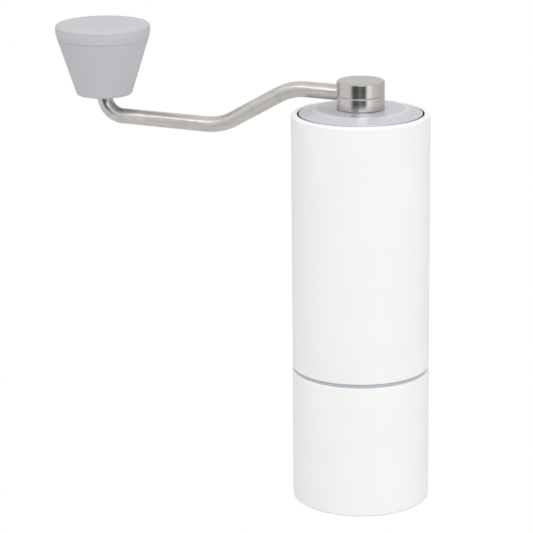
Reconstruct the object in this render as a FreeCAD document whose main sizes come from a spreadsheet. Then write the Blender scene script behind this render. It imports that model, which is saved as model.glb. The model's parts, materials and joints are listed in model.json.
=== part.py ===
import FreeCAD, Part
import math
import os
import re

import Sketcher

# Hand crank coffee grinder: a bean tube with a bearing-guided shaft and a conical burr,
# a lid that carries the crank, and a jar that screws on below.
# Millimetres, +Z up. The origin is on the grinder's axis, on the jar's underside.
# The crank lies along -X. Each piece is drawn from its own base and then placed.

# Driving sizes. Every other length is a formula of these.
SIZES = {
    # Bean tube and jar.
    "body_diameter": 52.0,
    "body_wall": 2.3,
    "body_length": 97.85,
    "rim_round": 1.0,
    "rim_inner_round": 0.3,
    "jar_step": 0.1,
    "jar_height": 51.0,
    "jar_wall": 1.6,
    "jar_floor": 2.0,
    "jar_round": 0.8,
    "liner_wall": 1.5,
    "edge_break": 0.3,
    "ring_height": 1.5,
    "ring_inset": 1.0,
    # Jar screw thread.
    "neck_height": 8.0,
    "neck_wall": 1.8,
    "thread_zone": 10.5,
    "thread_inset": 0.6,
    "thread_lead": 4.8,
    "thread_starts": 2,
    "thread_turns": 1.0,
    "thread_depth": 1.0,
    "thread_root": 1.0,
    "thread_crest": 0.5,
    "thread_rise": 2.0,
    # Burr carrier and burrs.
    "carrier_wall": 4.7,
    "carrier_floor": 2.0,
    "funnel_height": 10.0,
    "arm_width": 5.0,
    "arm_height": 6.0,
    "seat_lip": 1.0,
    "seat_wall": 2.2,
    "burr_height": 16.0,
    "burr_band": 1.0,
    "burr_throat_height": 11.0,
    "burr_edge": 2.6,
    "burr_taper": 3.2,
    "burr_gap": 0.35,
    "cone_nose": 17.0,
    "cone_nose_diameter": 16.0,
    "cone_recess": 9.0,
    "tooth_depth": 1.2,
    "tooth_size": 2.0,
    "clamp_screw_diameter": 2.4,
    "clamp_head_diameter": 4.4,
    "clamp_head_height": 1.3,
    "clamp_screw_length": 6.0,
    "clamp_screw_inset": 1.65,
    # Bearings and shaft.
    "shaft_diameter": 7.96,
    "bearing_diameter": 16.0,
    "bearing_width": 5.0,
    "ball_diameter": 2.4,
    "race_gap": 1.3,
    "cage_wall": 0.8,
    "cage_width": 3.4,
    "collar_diameter": 12.4,
    "collar_height": 2.0,
    "collar_lift": 1.0,
    "stud_diameter": 5.9,
    "sleeve_diameter": 10.6,
    "circlip_height": 0.8,
    "circlip_depth": 0.6,
    "circlip_reach": 1.2,
    "circlip_gap": 3.0,
    "snap_ring_height": 1.2,
    "snap_ring_depth": 0.7,
    "snap_ring_reach": 1.1,
    "drive_top_drop": 1.6,
    "drive_entry": 1.0,
    # Grind dial.
    "dial_diameter": 24.0,
    "dial_height": 7.7,
    "dial_grip": 5.5,
    "dial_boss_diameter": 17.2,
    "scallop_diameter": 4.4,
    "scallop_bite": 0.9,
    "stud_recess": 0.5,
    "plate_height": 1.2,
    "plate_diameter": 18.0,
    "detent_circle": 13.0,
    "detent_ball": 2.0,
    "detent_bite": 0.3,
    "detent_bore": 4.9,
    "detent_wire": 0.3,
    "detent_pitch": 0.75,
    "burr_spring_wire": 0.9,
    "burr_spring_play": 0.77,
    "burr_spring_pitch": 2.4,
    # Bearing bridge.
    "lid_seat_depth": 4.05,
    "bridge_height": 12.4,
    "bridge_wall": 1.38,
    # Lid.
    "lid_gap": 0.6,
    "lid_edge_rise": 0.15,
    "lid_crown": 1.7,
    "lid_flat_diameter": 35.0,
    "lid_plate": 2.0,
    "lid_plug_depth": 4.3,
    "lid_plug_gap": 0.4,
    "lid_plug_wall": 1.7,
    "lid_boss_wall": 2.0,
    "lid_boss_drop": 2.0,
    "bush_wall": 1.95,
    "lid_seal_lift": 1.2,
    "lid_seal_height": 1.8,
    "lid_seal_depth": 0.9,
    # Crank.
    "hub_diameter": 18.0,
    "hub_height": 10.55,
    "hub_chamfer": 0.5,
    "hub_groove_lift": 5.1,
    "hub_groove_width": 0.5,
    "hub_groove_depth": 0.35,
    "hub_neck_diameter": 12.0,
    "hub_neck_length": 9.8,
    "hub_socket_depth": 11.4,
    "rod_diameter": 6.0,
    "rod_lift": 5.2,
    "rod_start": 1.0,
    "rod_slope_start": 28.6,
    "rod_slope_end": 58.9,
    "rod_drop": 17.1,
    "rod_bend": 24.0,
    "rod_end_bend": 8.0,
    "crank_reach": 110.5,
    "crank_washer_height": 0.2,
    # Knob.
    "knob_lift": 8.15,
    "knob_height": 28.0,
    "knob_base_diameter": 21.5,
    "knob_split_diameter": 35.8,
    "knob_top_diameter": 37.0,
    "knob_split": 22.1,
    "knob_band": 24.7,
    "knob_base_round": 1.0,
    "knob_top_round": 1.7,
    "knob_wall": 2.2,
    "knob_floor": 2.7,
    "knob_floor_wall": 1.3,
    "knob_boss_height": 17.2,
    "knob_boss_diameter": 14.4,
    "knob_plate": 2.4,
    "spigot_depth": 3.0,
    "spigot_wall": 1.8,
    "parting_gap": 0.12,
    "bushing_wall": 1.93,
    "bushing_flange": 1.25,
    "bushing_flange_diameter": 13.8,
    "knob_play": 0.2,
    "knob_washer_height": 0.8,
    "knob_washer_diameter": 12.4,
    "knob_screw_diameter": 3.0,
    "knob_screw_length": 9.0,
    "knob_screw_head_diameter": 6.4,
    "knob_screw_head_height": 1.8,
    "hex_key": 2.4,
    # Clearances.
    "push_gap": 0.02,
    "rest_gap": 0.05,
    "running_gap": 0.05,
    "drive_gap": 0.1,
    "slip_gap": 0.3,
}

# Counts of repeated features.
ARM_COUNT = 3
CLAMP_SCREW_COUNT = 3
BALL_COUNT = 9
CONE_TOOTH_COUNT = 24
RING_TOOTH_COUNT = 30
SCALLOP_COUNT = 12
CLICK_COUNT = 12
DETENT_COUNT = 2
DRIVE_SIDES = 5
HEX_SIDES = 6
TOOTH_SIDES = 3

FULL_TURN = 360.0
HALF_TURN = 180.0
ARM_START_ANGLE = 60.0
TOOTH_SKEW = 14.0
SAME_SPOT = 0.001

# Heights and radii that follow from the driving sizes.
DERIVED = {
    # Bean tube and jar.
    "body_radius": "body_diameter / 2",
    "bore_radius": "body_radius - body_wall",
    "tube_base": "jar_height + ring_height",
    "rim_level": "tube_base + body_length",
    "jar_radius": "body_radius + jar_step",
    "jar_bore": "jar_radius - jar_wall",
    "liner_radius": "jar_bore - push_gap",
    "liner_bore": "liner_radius - liner_wall",
    "liner_base": "jar_floor + push_gap",
    "liner_shoulder": "jar_height - liner_base",
    # Jar screw thread.
    "thread_bore": "bore_radius - thread_inset",
    "neck_radius": "thread_bore - thread_depth - slip_gap",
    "neck_bore": "neck_radius - neck_wall",
    "outer_crest": "thread_bore - thread_depth",
    "inner_crest": "thread_bore - slip_gap",
    "thread_pitch": "thread_lead / thread_starts",
    "thread_travel": "thread_lead * thread_turns",
    "inner_thread_rise": "liner_shoulder + ring_height + thread_rise - thread_pitch / 2",
    # Burr carrier and burrs.
    "carrier_base": "tube_base + thread_zone",
    "carrier_radius": "bore_radius - push_gap",
    "burr_radius": "bore_radius - carrier_wall",
    "ring_burr_radius": "burr_radius - push_gap",
    "burr_base_radius": "burr_radius - burr_edge",
    "burr_throat_radius": "burr_base_radius - burr_taper",
    "funnel_foot": "burr_height + carrier_floor",
    "carrier_height": "funnel_foot + funnel_height",
    "carrier_arm": "carrier_height - arm_height",
    "cone_base_radius": "burr_base_radius - burr_gap",
    "cone_throat_radius": "burr_throat_radius - burr_gap",
    "cone_nose_radius": "cone_nose_diameter / 2",
    "cone_recess_radius": "collar_radius + slip_gap",
    "clamp_screw_circle": "burr_radius + clamp_screw_inset",
    # Bearings and shaft.
    "shaft_radius": "shaft_diameter / 2",
    "race_bore": "shaft_radius + push_gap",
    "bearing_radius": "bearing_diameter / 2",
    "seat_radius": "bearing_radius + push_gap",
    "seat_outer": "seat_radius + seat_wall",
    "ball_radius": "ball_diameter / 2",
    "ball_circle": "(bearing_radius + race_bore) / 2",
    "inner_race_radius": "ball_circle - race_gap / 2",
    "outer_race_bore": "ball_circle + race_gap / 2",
    "lip_bore": "outer_race_bore + slip_gap",
    "cage_inner": "ball_circle - cage_wall / 2",
    "cage_outer": "ball_circle + cage_wall / 2",
    "lower_bearing": "carrier_base + carrier_arm + seat_lip",
    "bridge_top": "rim_level - lid_seat_depth",
    "bridge_base": "bridge_top - bridge_height",
    "upper_bearing": "bridge_base + seat_lip",
    "collar_radius": "collar_diameter / 2",
    "collar_base": "lower_bearing - collar_height",
    "sleeve_base": "lower_bearing + bearing_width + rest_gap",
    "sleeve_length": "upper_bearing - rest_gap - sleeve_base",
    "shaft_circlip_base": "upper_bearing + bearing_width + rest_gap",
    # Grind dial, click plate and springs.
    "plate_base": "carrier_base - rest_gap - plate_height",
    "dial_base": "plate_base - slip_gap - dial_height",
    "dial_radius": "dial_diameter / 2",
    "shaft_foot": "dial_base + stud_recess",
    "drive_foot": "plate_base - shaft_foot",
    "detent_spring_circle": "detent_ball - 2 * detent_wire",
    "detent_lift": "dial_height + slip_gap - rest_gap - detent_ball / 2",
    "detent_spring_base": "dial_base + dial_height - detent_bore + detent_wire / 2 + rest_gap",
    "detent_spring_height": "detent_lift - detent_ball / 2 - dial_height + detent_bore - detent_wire",
    "burr_spring_circle": "shaft_diameter + burr_spring_wire + 2 * burr_spring_play",
    "burr_spring_base": "carrier_base + cone_recess + burr_spring_wire / 2 + rest_gap",
    "burr_spring_height": "collar_base - rest_gap - burr_spring_wire / 2 - burr_spring_base",
    # Bearing bridge and lid.
    "bridge_radius": "bore_radius - push_gap",
    "bridge_bore": "bridge_radius - bridge_wall",
    "lid_radius": "bore_radius - lid_gap",
    "lid_base": "bridge_top - lid_plug_depth",
    "lid_edge": "lid_plug_depth + rest_gap",
    "lid_shoulder": "rim_level + lid_edge_rise - lid_base",
    "lid_top": "lid_shoulder + lid_crown",
    "lid_under": "lid_top - lid_plate",
    "lid_plug_radius": "bridge_bore - lid_plug_gap",
    "lid_plug_bore": "lid_plug_radius - lid_plug_wall",
    "lid_boss_base": "lid_under - lid_boss_drop",
    "bush_bore": "hub_neck_diameter / 2 + running_gap",
    "bush_radius": "bush_bore + bush_wall",
    "lid_hole": "bush_radius + push_gap",
    "lid_boss_radius": "lid_hole + lid_boss_wall",
    "lid_seal_bore": "lid_plug_radius - lid_seal_depth",
    "lid_seal_radius": "bridge_bore - running_gap",
    # Crank.
    "hub_level": "lid_base + lid_top + 2 * rest_gap",
    "hub_base": "hub_level - hub_neck_length",
    "hub_radius": "hub_diameter / 2",
    "hub_top": "hub_neck_length + hub_height",
    "neck_outer": "hub_neck_diameter / 2",
    "crank_washer_base": "lid_base + lid_boss_base - rest_gap - crank_washer_height",
    "crank_circlip_base": "crank_washer_base - rest_gap - circlip_height",
    "rod_radius": "rod_diameter / 2",
    "rod_axis": "hub_level + rod_lift",
    "rod_outer_axis": "rod_axis - rod_drop",
    "shaft_length": "hub_base + hub_socket_depth - stud_recess - shaft_foot",
    "drive_top_foot": "shaft_circlip_base + circlip_height + drive_top_drop / 2 - shaft_foot",
    # Knob.
    "knob_base": "rod_outer_axis + knob_lift",
    "bushing_bore": "rod_radius + running_gap",
    "bushing_radius": "bushing_bore + bushing_wall",
    "knob_bore": "bushing_radius + push_gap",
    "bushing_top": "knob_boss_height + rest_gap + bushing_flange",
    "rod_end": "bushing_top + knob_play",
    "rod_tip": "knob_base + rod_end",
    "spigot_foot": "knob_split - spigot_depth",
    "spigot_bore": "knob_split_diameter / 2 - knob_wall - spigot_depth / 3",
    "knob_screw_seat": "rod_end + knob_washer_height + 2 * push_gap",
    "knob_screw_foot": "knob_base + knob_screw_seat - knob_screw_length",
}

WORD = re.compile(r"[a-z][a-z_]+")

doc = FreeCAD.newDocument("coffee_grinder")
pieces = []


def fill_sheet(name, entries):
    """Write named cells to a new sheet, one to a row."""
    sheet = doc.addObject("Spreadsheet::Sheet", name)
    for row, (alias, text) in enumerate(entries.items(), start=1):
        cell = f"A{row}"
        sheet.setAlias(cell, alias)
        sheet.set(cell, text)
    return sheet


def bound(formula):
    """Point each size named in a formula at the sheet that holds it."""
    def home(hit):
        word = hit.group()
        if word in SIZES:
            return f"Sizes.{word}"
        if word in DERIVED:
            return f"Derived.{word}"
        return word
    return WORD.sub(home, formula)


def size(name):
    """Read one named size as a number."""
    sheet = sizes if name in SIZES else derived
    return float(getattr(sheet, name))


def vector(x, y, z):
    return FreeCAD.Vector(x, y, z)


def origin_part(body, role):
    """Find one of a body's own origin planes or axes."""
    return next(part for part in body.Origin.OriginFeatures if part.Role == role)


def place(piece, x="0", y="0", z="0"):
    """Bind a piece's position to formulas."""
    for axis, formula in zip("xyz", (x, y, z)):
        if formula != "0":
            piece.setExpression(f".Placement.Base.{axis}", bound(formula))


def turn(piece, angle):
    """Turn a piece about the vertical."""
    piece.Placement.Rotation = FreeCAD.Rotation(vector(0, 0, 1), angle)


def new_body(label, z="0", x="0"):
    """Start a piece and place its base."""
    body = doc.addObject("PartDesign::Body", label)
    body.Label = label
    place(body, x=x, z=z)
    pieces.append(body)
    return body


def sketch_on(body, name, role="XZ_Plane"):
    """Start a sketch on one of the body's own planes."""
    sketch = body.newObject("Sketcher::SketchObject", name)
    sketch.AttachmentSupport = [(origin_part(body, role), "")]
    sketch.MapMode = "FlatFace"
    return sketch


def pin_point(sketch, geometry, point, x, y, start=(1.0, 1.0)):
    """Hold a sketch point at a position given by two formulas."""
    for kind, axis, formula, value in (("DistanceX", -2, x, start[0]), ("DistanceY", -1, y, start[1])):
        if formula == "0":
            sketch.addConstraint(Sketcher.Constraint("PointOnObject", geometry, point, axis))
            continue
        index = sketch.addConstraint(Sketcher.Constraint(kind, -1, 1, geometry, point, value))
        sketch.setExpression(f"Constraints[{index}]", bound(formula))


def outline(body, name, corners, role="XZ_Plane"):
    """Draw a closed outline through corners given as formulas."""
    sketch = sketch_on(body, name, role)
    count = len(corners)
    step = math.tau / count
    spots = [vector(2 + math.cos(step * i), 2 + math.sin(step * i), 0) for i in range(count)]
    for index in range(count):
        sketch.addGeometry(Part.LineSegment(spots[index], spots[(index + 1) % count]), False)
    for index in range(count):
        sketch.addConstraint(Sketcher.Constraint("Coincident", index, 2, (index + 1) % count, 1))
    for index, (x, y) in enumerate(corners):
        pin_point(sketch, index, 1, x, y)
    return sketch


def revolve(body, name, corners):
    """Turn an outline about the piece's axis, adding material."""
    feature = body.newObject("PartDesign::Revolution", name)
    feature.Profile = outline(body, f"{name}_outline", corners)
    feature.ReferenceAxis = (feature.Profile[0], ["V_Axis"])
    feature.Angle = FULL_TURN
    return feature


def pattern(body, name, feature, count):
    """Repeat one feature around the piece's axis."""
    ring = body.newObject("PartDesign::PolarPattern", name)
    ring.Originals = [feature]
    ring.Axis = (origin_part(body, "Z_Axis"), [""])
    ring.Angle = FULL_TURN
    ring.Occurrences = count
    body.Tip = ring
    return ring


def primitive(body, kind, name, x="0", z="0", rotation=None, **lengths):
    """Add or cut a primitive whose position and lengths are formulas."""
    feature = body.newObject(f"PartDesign::{kind}", name)
    if rotation is not None:
        feature.Placement.Rotation = rotation
    for length, formula in lengths.items():
        feature.setExpression(length, bound(formula))
    place(feature, x=x, z=z)
    return feature


def prism(body, kind, name, sides, x="0", z="0", **lengths):
    """Add or cut an upright prism with a number of sides."""
    feature = primitive(body, kind, name, x=x, z=z, **lengths)
    feature.Polygon = sides
    return feature


def round_edges(body, name, radius, spots):
    """Round the circular edges at the given radii and heights."""
    doc.recompute()
    base = body.Tip
    chosen = []
    for index, edge in enumerate(base.Shape.Edges, start=1):
        if not isinstance(edge.Curve, Part.Circle):
            continue
        for edge_radius, height in spots:
            same_radius = abs(edge.Curve.Radius - edge_radius) < SAME_SPOT
            same_height = abs(edge.Curve.Center.z - height) < SAME_SPOT
            if same_radius and same_height:
                chosen.append(f"Edge{index}")
    fillet = body.newObject("PartDesign::Fillet", name)
    fillet.Base = (base, chosen)
    fillet.setExpression("Radius", bound(radius))


def helix(body, name, profile, pitch, height):
    """Sweep a profile along a helix about the piece's axis."""
    feature = body.newObject("PartDesign::AdditiveHelix", name)
    feature.Profile = profile
    feature.ReferenceAxis = (profile, ["V_Axis"])
    feature.Mode = 0
    feature.setExpression("Pitch", bound(pitch))
    feature.setExpression("Height", bound(height))
    return feature


def tooth_cuts(body, foot, head, count, outward):
    """Cut slanted V grooves along the flank between two points of a cone.

    foot and head are radius and height pairs. The groove's sharp edge points
    away from the flank: outward on a ring, inward on a cone.
    """
    side = 1.0 if outward else -1.0
    along = vector(head[0] - foot[0], 0, head[1] - foot[1])
    length = along.Length
    along.normalize()
    inward = vector(side * along.z, 0, -side * along.x)
    across = along.cross(inward)
    lift = size("tooth_size") - size("tooth_depth")
    start = vector(foot[0], 0, foot[1]) - along * size("tooth_size") - inward * lift
    skew = FreeCAD.Rotation(inward, TOOTH_SKEW)
    frame = FreeCAD.Rotation(inward, across, along, "ZXY")
    cut = body.newObject("PartDesign::SubtractivePrism", "tooth_cut")
    cut.Polygon = TOOTH_SIDES
    cut.Circumradius = size("tooth_size")
    cut.Height = length + 2 * size("tooth_size")
    cut.Placement = FreeCAD.Placement(start, skew.multiply(frame))
    pattern(body, "tooth_ring", cut, count)


def thread_ridge(body, name, root, crest, height):
    """Add the starts of a screw thread, each a tapered ridge along a helix."""
    corners = [
        (root, f"{height} - thread_root / 2"),
        (crest, f"{height} - thread_crest / 2"),
        (crest, f"{height} + thread_crest / 2"),
        (root, f"{height} + thread_root / 2"),
    ]
    profile = outline(body, f"{name}_outline", corners)
    ridge = helix(body, name, profile, "thread_lead", "thread_travel")
    pattern(body, f"{name}_starts", ridge, int(SIZES["thread_starts"]))


def split_ring(label, inner, outer, height, z):
    """A flat spring ring with a gap."""
    body = new_body(label, z)
    revolve(body, "ring", [(inner, "0"), (outer, "0"), (outer, height), (inner, height)])
    gap = body.newObject("PartDesign::SubtractiveBox", "gap")
    gap.setExpression("Length", bound(outer))
    gap.setExpression("Width", bound("circlip_gap"))
    gap.setExpression("Height", bound(height))
    gap.setExpression(".Placement.Base.y", bound("-circlip_gap / 2"))
    return body


def collar(label, inner, outer, height, z, x="0"):
    """A plain ring, such as a washer or a sleeve."""
    body = new_body(label, z, x)
    revolve(body, "ring", [(inner, "0"), (outer, "0"), (outer, height), (inner, height)])
    return body


def add_bearing_seat(body, base):
    """Add three arms and a lipped seat for a bearing, starting at a height."""
    arm = primitive(
        body, "AdditiveBox", "arm",
        rotation=FreeCAD.Rotation(vector(0, 0, 1), ARM_START_ANGLE),
        Length="bridge_bore + bridge_wall / 2", Width="arm_width", Height="arm_height")
    half_angle = math.radians(ARM_START_ANGLE)
    arm.setExpression(".Placement.Base.x", bound(f"arm_width / 2 * {math.sin(half_angle)}"))
    arm.setExpression(".Placement.Base.y", bound(f"-arm_width / 2 * {math.cos(half_angle)}"))
    if base != "0":
        arm.setExpression(".Placement.Base.z", bound(base))
    pattern(body, "arms", arm, ARM_COUNT)
    primitive(body, "AdditiveCylinder", "seat", z=base, Radius="seat_outer", Height="arm_height")
    primitive(body, "SubtractiveCylinder", "shaft_way", z=base, Radius="lip_bore", Height="arm_height")
    primitive(
        body, "SubtractiveCylinder", "bearing_pocket", z=f"{base} + seat_lip",
        Radius="seat_radius", Height="arm_height - seat_lip")


def body_tube():
    """The outer tube: a threaded foot, a bore with two ring grooves, a rounded rim."""
    body = new_body("body_tube", "tube_base")
    ring_foot = "carrier_base + carrier_height - tube_base"
    bridge_foot = "bridge_base - snap_ring_height - 2 * rest_gap - tube_base"
    ring_room = "snap_ring_height + 2 * rest_gap"
    groove_radius = "bore_radius + snap_ring_depth + slip_gap / 3"
    revolve(body, "wall", [
        ("thread_bore", "0"),
        ("body_radius - edge_break", "0"),
        ("body_radius", "edge_break"),
        ("body_radius", "body_length"),
        ("bore_radius", "body_length"),
        ("bore_radius", f"{bridge_foot} + {ring_room}"),
        (groove_radius, f"{bridge_foot} + {ring_room}"),
        (groove_radius, bridge_foot),
        ("bore_radius", bridge_foot),
        ("bore_radius", f"{ring_foot} + {ring_room}"),
        (groove_radius, f"{ring_foot} + {ring_room}"),
        (groove_radius, ring_foot),
        ("bore_radius", ring_foot),
        ("bore_radius", "thread_zone"),
        ("thread_bore", "thread_zone"),
    ])
    rim = size("body_length")
    round_edges(body, "rim_rounding", "rim_round", [(size("body_radius"), rim)])
    round_edges(body, "rim_inner_rounding", "rim_inner_round", [(size("bore_radius"), rim)])
    thread_ridge(body, "thread", "thread_bore + push_gap", "outer_crest", "thread_rise")


def bearing_bridge():
    """The ring under the lid with three arms that hold the upper bearing."""
    body = new_body("bearing_bridge", "bridge_base")
    revolve(body, "ring", [
        ("bridge_bore", "0"),
        ("bridge_radius", "0"),
        ("bridge_radius", "bridge_height"),
        ("bridge_bore", "bridge_height"),
    ])
    add_bearing_seat(body, "0")


def burr_carrier():
    """The funnel that feeds the burrs, with the ring burr's seat and the lower bearing's arms."""
    body = new_body("burr_carrier", "carrier_base")
    revolve(body, "funnel", [
        ("burr_radius", "0"),
        ("carrier_radius", "0"),
        ("carrier_radius", "carrier_height"),
        ("bridge_bore", "carrier_height"),
        ("burr_base_radius", "funnel_foot"),
        ("burr_base_radius", "burr_height"),
        ("burr_radius", "burr_height"),
    ])
    add_bearing_seat(body, "carrier_arm")
    hole = primitive(
        body, "SubtractiveCylinder", "screw_hole", x="clamp_screw_circle",
        Radius="clamp_screw_diameter / 2 + push_gap", Height="clamp_screw_length + rest_gap")
    pattern(body, "screw_holes", hole, CLAMP_SCREW_COUNT)


def ring_burr():
    """The fixed outer burr, with cutting teeth on its inside."""
    body = new_body("ring_burr", "carrier_base")
    revolve(body, "ring", [
        ("burr_base_radius", "0"),
        ("ring_burr_radius", "0"),
        ("ring_burr_radius", "burr_height - push_gap"),
        ("burr_base_radius", "burr_height - push_gap"),
        ("burr_throat_radius", "burr_throat_height"),
        ("burr_base_radius", "burr_band"),
    ])
    foot = (size("burr_base_radius"), size("burr_band"))
    head = (size("burr_throat_radius"), size("burr_throat_height"))
    tooth_cuts(body, foot, head, RING_TOOTH_COUNT, outward=True)


def cone_burr():
    """The turning burr: a toothed cone with a spring recess and a five-sided bore."""
    body = new_body("cone_burr", "carrier_base")
    revolve(body, "cone", [
        ("0", "0"),
        ("cone_base_radius", "0"),
        ("cone_base_radius", "burr_band"),
        ("cone_throat_radius", "burr_throat_height"),
        ("cone_nose_radius", "cone_nose"),
        ("cone_recess_radius", "cone_nose"),
        ("cone_recess_radius", "cone_recess"),
        ("0", "cone_recess"),
    ])
    prism(body, "SubtractivePrism", "drive_bore", DRIVE_SIDES,
          Circumradius="shaft_radius + drive_gap", Height="cone_nose")
    foot = (size("cone_base_radius"), size("burr_band"))
    head = (size("cone_throat_radius"), size("burr_throat_height"))
    tooth_cuts(body, foot, head, CONE_TOOTH_COUNT, outward=False)


def screw(label, shank_radius, length, head_radius, head_height, z, x, head_up):
    """A cap screw with a hexagonal socket, drawn head up and turned over if needed."""
    body = doc.addObject("PartDesign::Body", label)
    body.Label = label
    revolve(body, "screw", [
        ("0", "0"),
        (shank_radius, "0"),
        (shank_radius, length),
        (head_radius, length),
        (head_radius, f"{length} + {head_height} - edge_break"),
        (f"{head_radius} - edge_break", f"{length} + {head_height}"),
        ("0", f"{length} + {head_height}"),
    ])
    prism(body, "SubtractivePrism", "socket", HEX_SIDES, z=f"{length} + {head_height} / 3",
          Circumradius="hex_key / 2", Height=head_height)
    if not head_up:
        body.Placement.Rotation = FreeCAD.Rotation(vector(1, 0, 0), HALF_TURN)
    place(body, x=x, z=z)
    return body


def group(label, members):
    """Hold identical separate solids as one piece."""
    compound = doc.addObject("Part::Compound", label)
    compound.Label = label
    compound.Links = members
    pieces.append(compound)


def around(formula, index, count, start=0.0):
    """Formulas for the x and y of one spot of a ring of spots."""
    angle = math.radians(start + FULL_TURN * index / count)
    return f"({formula}) * {math.cos(angle):.9f}", f"({formula}) * {math.sin(angle):.9f}"


def burr_clamp_screws():
    """Screws whose heads overlap the ring burr's edge and hold it in the carrier."""
    members = []
    for index in range(CLAMP_SCREW_COUNT):
        x, y = around("clamp_screw_circle", index, CLAMP_SCREW_COUNT)
        member = screw(
            f"clamp_screw_{index}", "clamp_screw_diameter / 2", "clamp_screw_length",
            "clamp_head_diameter / 2", "clamp_head_height",
            "carrier_base + clamp_screw_length - push_gap", x, head_up=False)
        member.setExpression(".Placement.Base.y", bound(y))
        members.append(member)
    group("burr_clamp_screws", members)


def ball_bearing(prefix, z):
    """One deep-groove bearing: two races, a cage and its balls."""
    mid = "bearing_width / 2"
    chamfer = "edge_break"
    inner = new_body(f"{prefix}_inner_race", z)
    revolve(inner, "ring", [
        ("race_bore", "0"),
        (f"inner_race_radius - {chamfer}", "0"),
        ("inner_race_radius", chamfer),
        ("inner_race_radius", f"bearing_width - {chamfer}"),
        (f"inner_race_radius - {chamfer}", "bearing_width"),
        ("race_bore", "bearing_width"),
    ])
    outer = new_body(f"{prefix}_outer_race", z)
    revolve(outer, "ring", [
        (f"outer_race_bore + {chamfer}", "0"),
        ("bearing_radius", "0"),
        ("bearing_radius", "bearing_width"),
        (f"outer_race_bore + {chamfer}", "bearing_width"),
        ("outer_race_bore", f"bearing_width - {chamfer}"),
        ("outer_race_bore", chamfer),
    ])
    for race in (inner, outer):
        track = primitive(race, "SubtractiveTorus", "track", z=mid)
        track.setExpression("Radius1", bound("ball_circle"))
        track.setExpression("Radius2", bound("ball_radius + running_gap"))
    cage = new_body(f"{prefix}_bearing_cage", f"{z} + (bearing_width - cage_width) / 2")
    revolve(cage, "ring", [
        ("cage_inner", "0"),
        ("cage_outer", "0"),
        ("cage_outer", "cage_width"),
        ("cage_inner", "cage_width"),
    ])
    outward = FreeCAD.Rotation(vector(0, 1, 0), FULL_TURN / 4)
    pocket = primitive(
        cage, "SubtractiveCylinder", "pocket", x="ball_circle - cage_wall", z="cage_width / 2",
        rotation=outward, Radius="ball_radius + running_gap", Height="2 * cage_wall")
    pattern(cage, "pockets", pocket, BALL_COUNT)
    balls = []
    for index in range(BALL_COUNT):
        ball = doc.addObject("Part::Sphere", f"{prefix}_ball_{index}")
        ball.setExpression("Radius", bound("ball_radius"))
        x, y = around("ball_circle", index, BALL_COUNT)
        place(ball, x, y, f"{z} + {mid}")
        balls.append(ball)
    group(f"{prefix}_bearing_balls", balls)


def drive_shaft():
    """The shaft: threaded foot, five-sided burr drive, collar, round journal, five-sided top."""
    body = new_body("drive_shaft", "shaft_foot")
    clip_foot = "shaft_circlip_base - shaft_foot"
    clip_top = f"{clip_foot} + circlip_height + rest_gap"
    revolve(body, "round_lengths", [
        ("0", "0"),
        ("stud_diameter / 2 - edge_break", "0"),
        ("stud_diameter / 2", "edge_break"),
        ("stud_diameter / 2", "collar_base - shaft_foot"),
        ("collar_radius", "collar_base - shaft_foot"),
        ("collar_radius", "collar_base + collar_height - collar_lift - shaft_foot"),
        ("inner_race_radius", "collar_base + collar_height - shaft_foot"),
        ("shaft_radius", "collar_base + collar_height - shaft_foot"),
        ("shaft_radius", clip_foot),
        ("shaft_radius - circlip_depth", clip_foot),
        ("shaft_radius - circlip_depth", clip_top),
        ("shaft_radius", clip_top),
        ("shaft_radius", "drive_top_foot"),
        ("stud_diameter / 2", "drive_top_foot"),
        ("stud_diameter / 2", "shaft_length - edge_break"),
        ("stud_diameter / 2 - edge_break", "shaft_length"),
        ("0", "shaft_length"),
    ])
    prism(body, "AdditivePrism", "burr_drive", DRIVE_SIDES, z="drive_foot",
          Circumradius="shaft_radius", Height="collar_base - shaft_foot - drive_foot")
    prism(body, "AdditivePrism", "crank_drive", DRIVE_SIDES, z="drive_top_foot",
          Circumradius="shaft_radius", Height="shaft_length - drive_top_foot - drive_entry")


def coil_spring(label, wire, circle, pitch, height, z):
    """A round-wire coil spring about its own axis."""
    body = doc.addObject("PartDesign::Body", label)
    body.Label = label
    place(body, z=z)
    profile = sketch_on(body, "wire")
    radius = size(circle) / 2
    thickness = size(wire) / 2
    profile.addGeometry(Part.Circle(vector(radius, 0, 0), vector(0, 0, 1), thickness), False)
    profile.addConstraint(Sketcher.Constraint("PointOnObject", 0, 3, -1))
    across = profile.addConstraint(Sketcher.Constraint("DistanceX", -1, 1, 0, 3, radius))
    profile.setExpression(f"Constraints[{across}]", bound(f"{circle} / 2"))
    thick = profile.addConstraint(Sketcher.Constraint("Radius", 0, thickness))
    profile.setExpression(f"Constraints[{thick}]", bound(f"{wire} / 2"))
    helix(body, "coil", profile, pitch, height)
    return body


def grind_dial():
    """The scalloped nut under the burr that sets the grind."""
    body = new_body("grind_dial", "dial_base")
    revolve(body, "nut", [
        ("stud_diameter / 2 + running_gap", "0"),
        ("dial_radius - edge_break", "0"),
        ("dial_radius", "edge_break"),
        ("dial_radius", "dial_grip - edge_break"),
        ("dial_radius - edge_break", "dial_grip"),
        ("dial_boss_diameter / 2", "dial_grip"),
        ("dial_boss_diameter / 2", "dial_height"),
        ("stud_diameter / 2 + running_gap", "dial_height"),
    ])
    scallop = primitive(
        body, "SubtractiveCylinder", "scallop",
        x="dial_radius + scallop_diameter / 2 - scallop_bite",
        Radius="scallop_diameter / 2", Height="dial_grip")
    pattern(body, "scallops", scallop, SCALLOP_COUNT)
    bore = primitive(
        body, "SubtractiveCylinder", "detent_bore", x="detent_circle / 2",
        z="dial_height - detent_bore", Radius="detent_ball / 2 + running_gap", Height="detent_bore")
    pattern(body, "detent_bores", bore, DETENT_COUNT)


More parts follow.
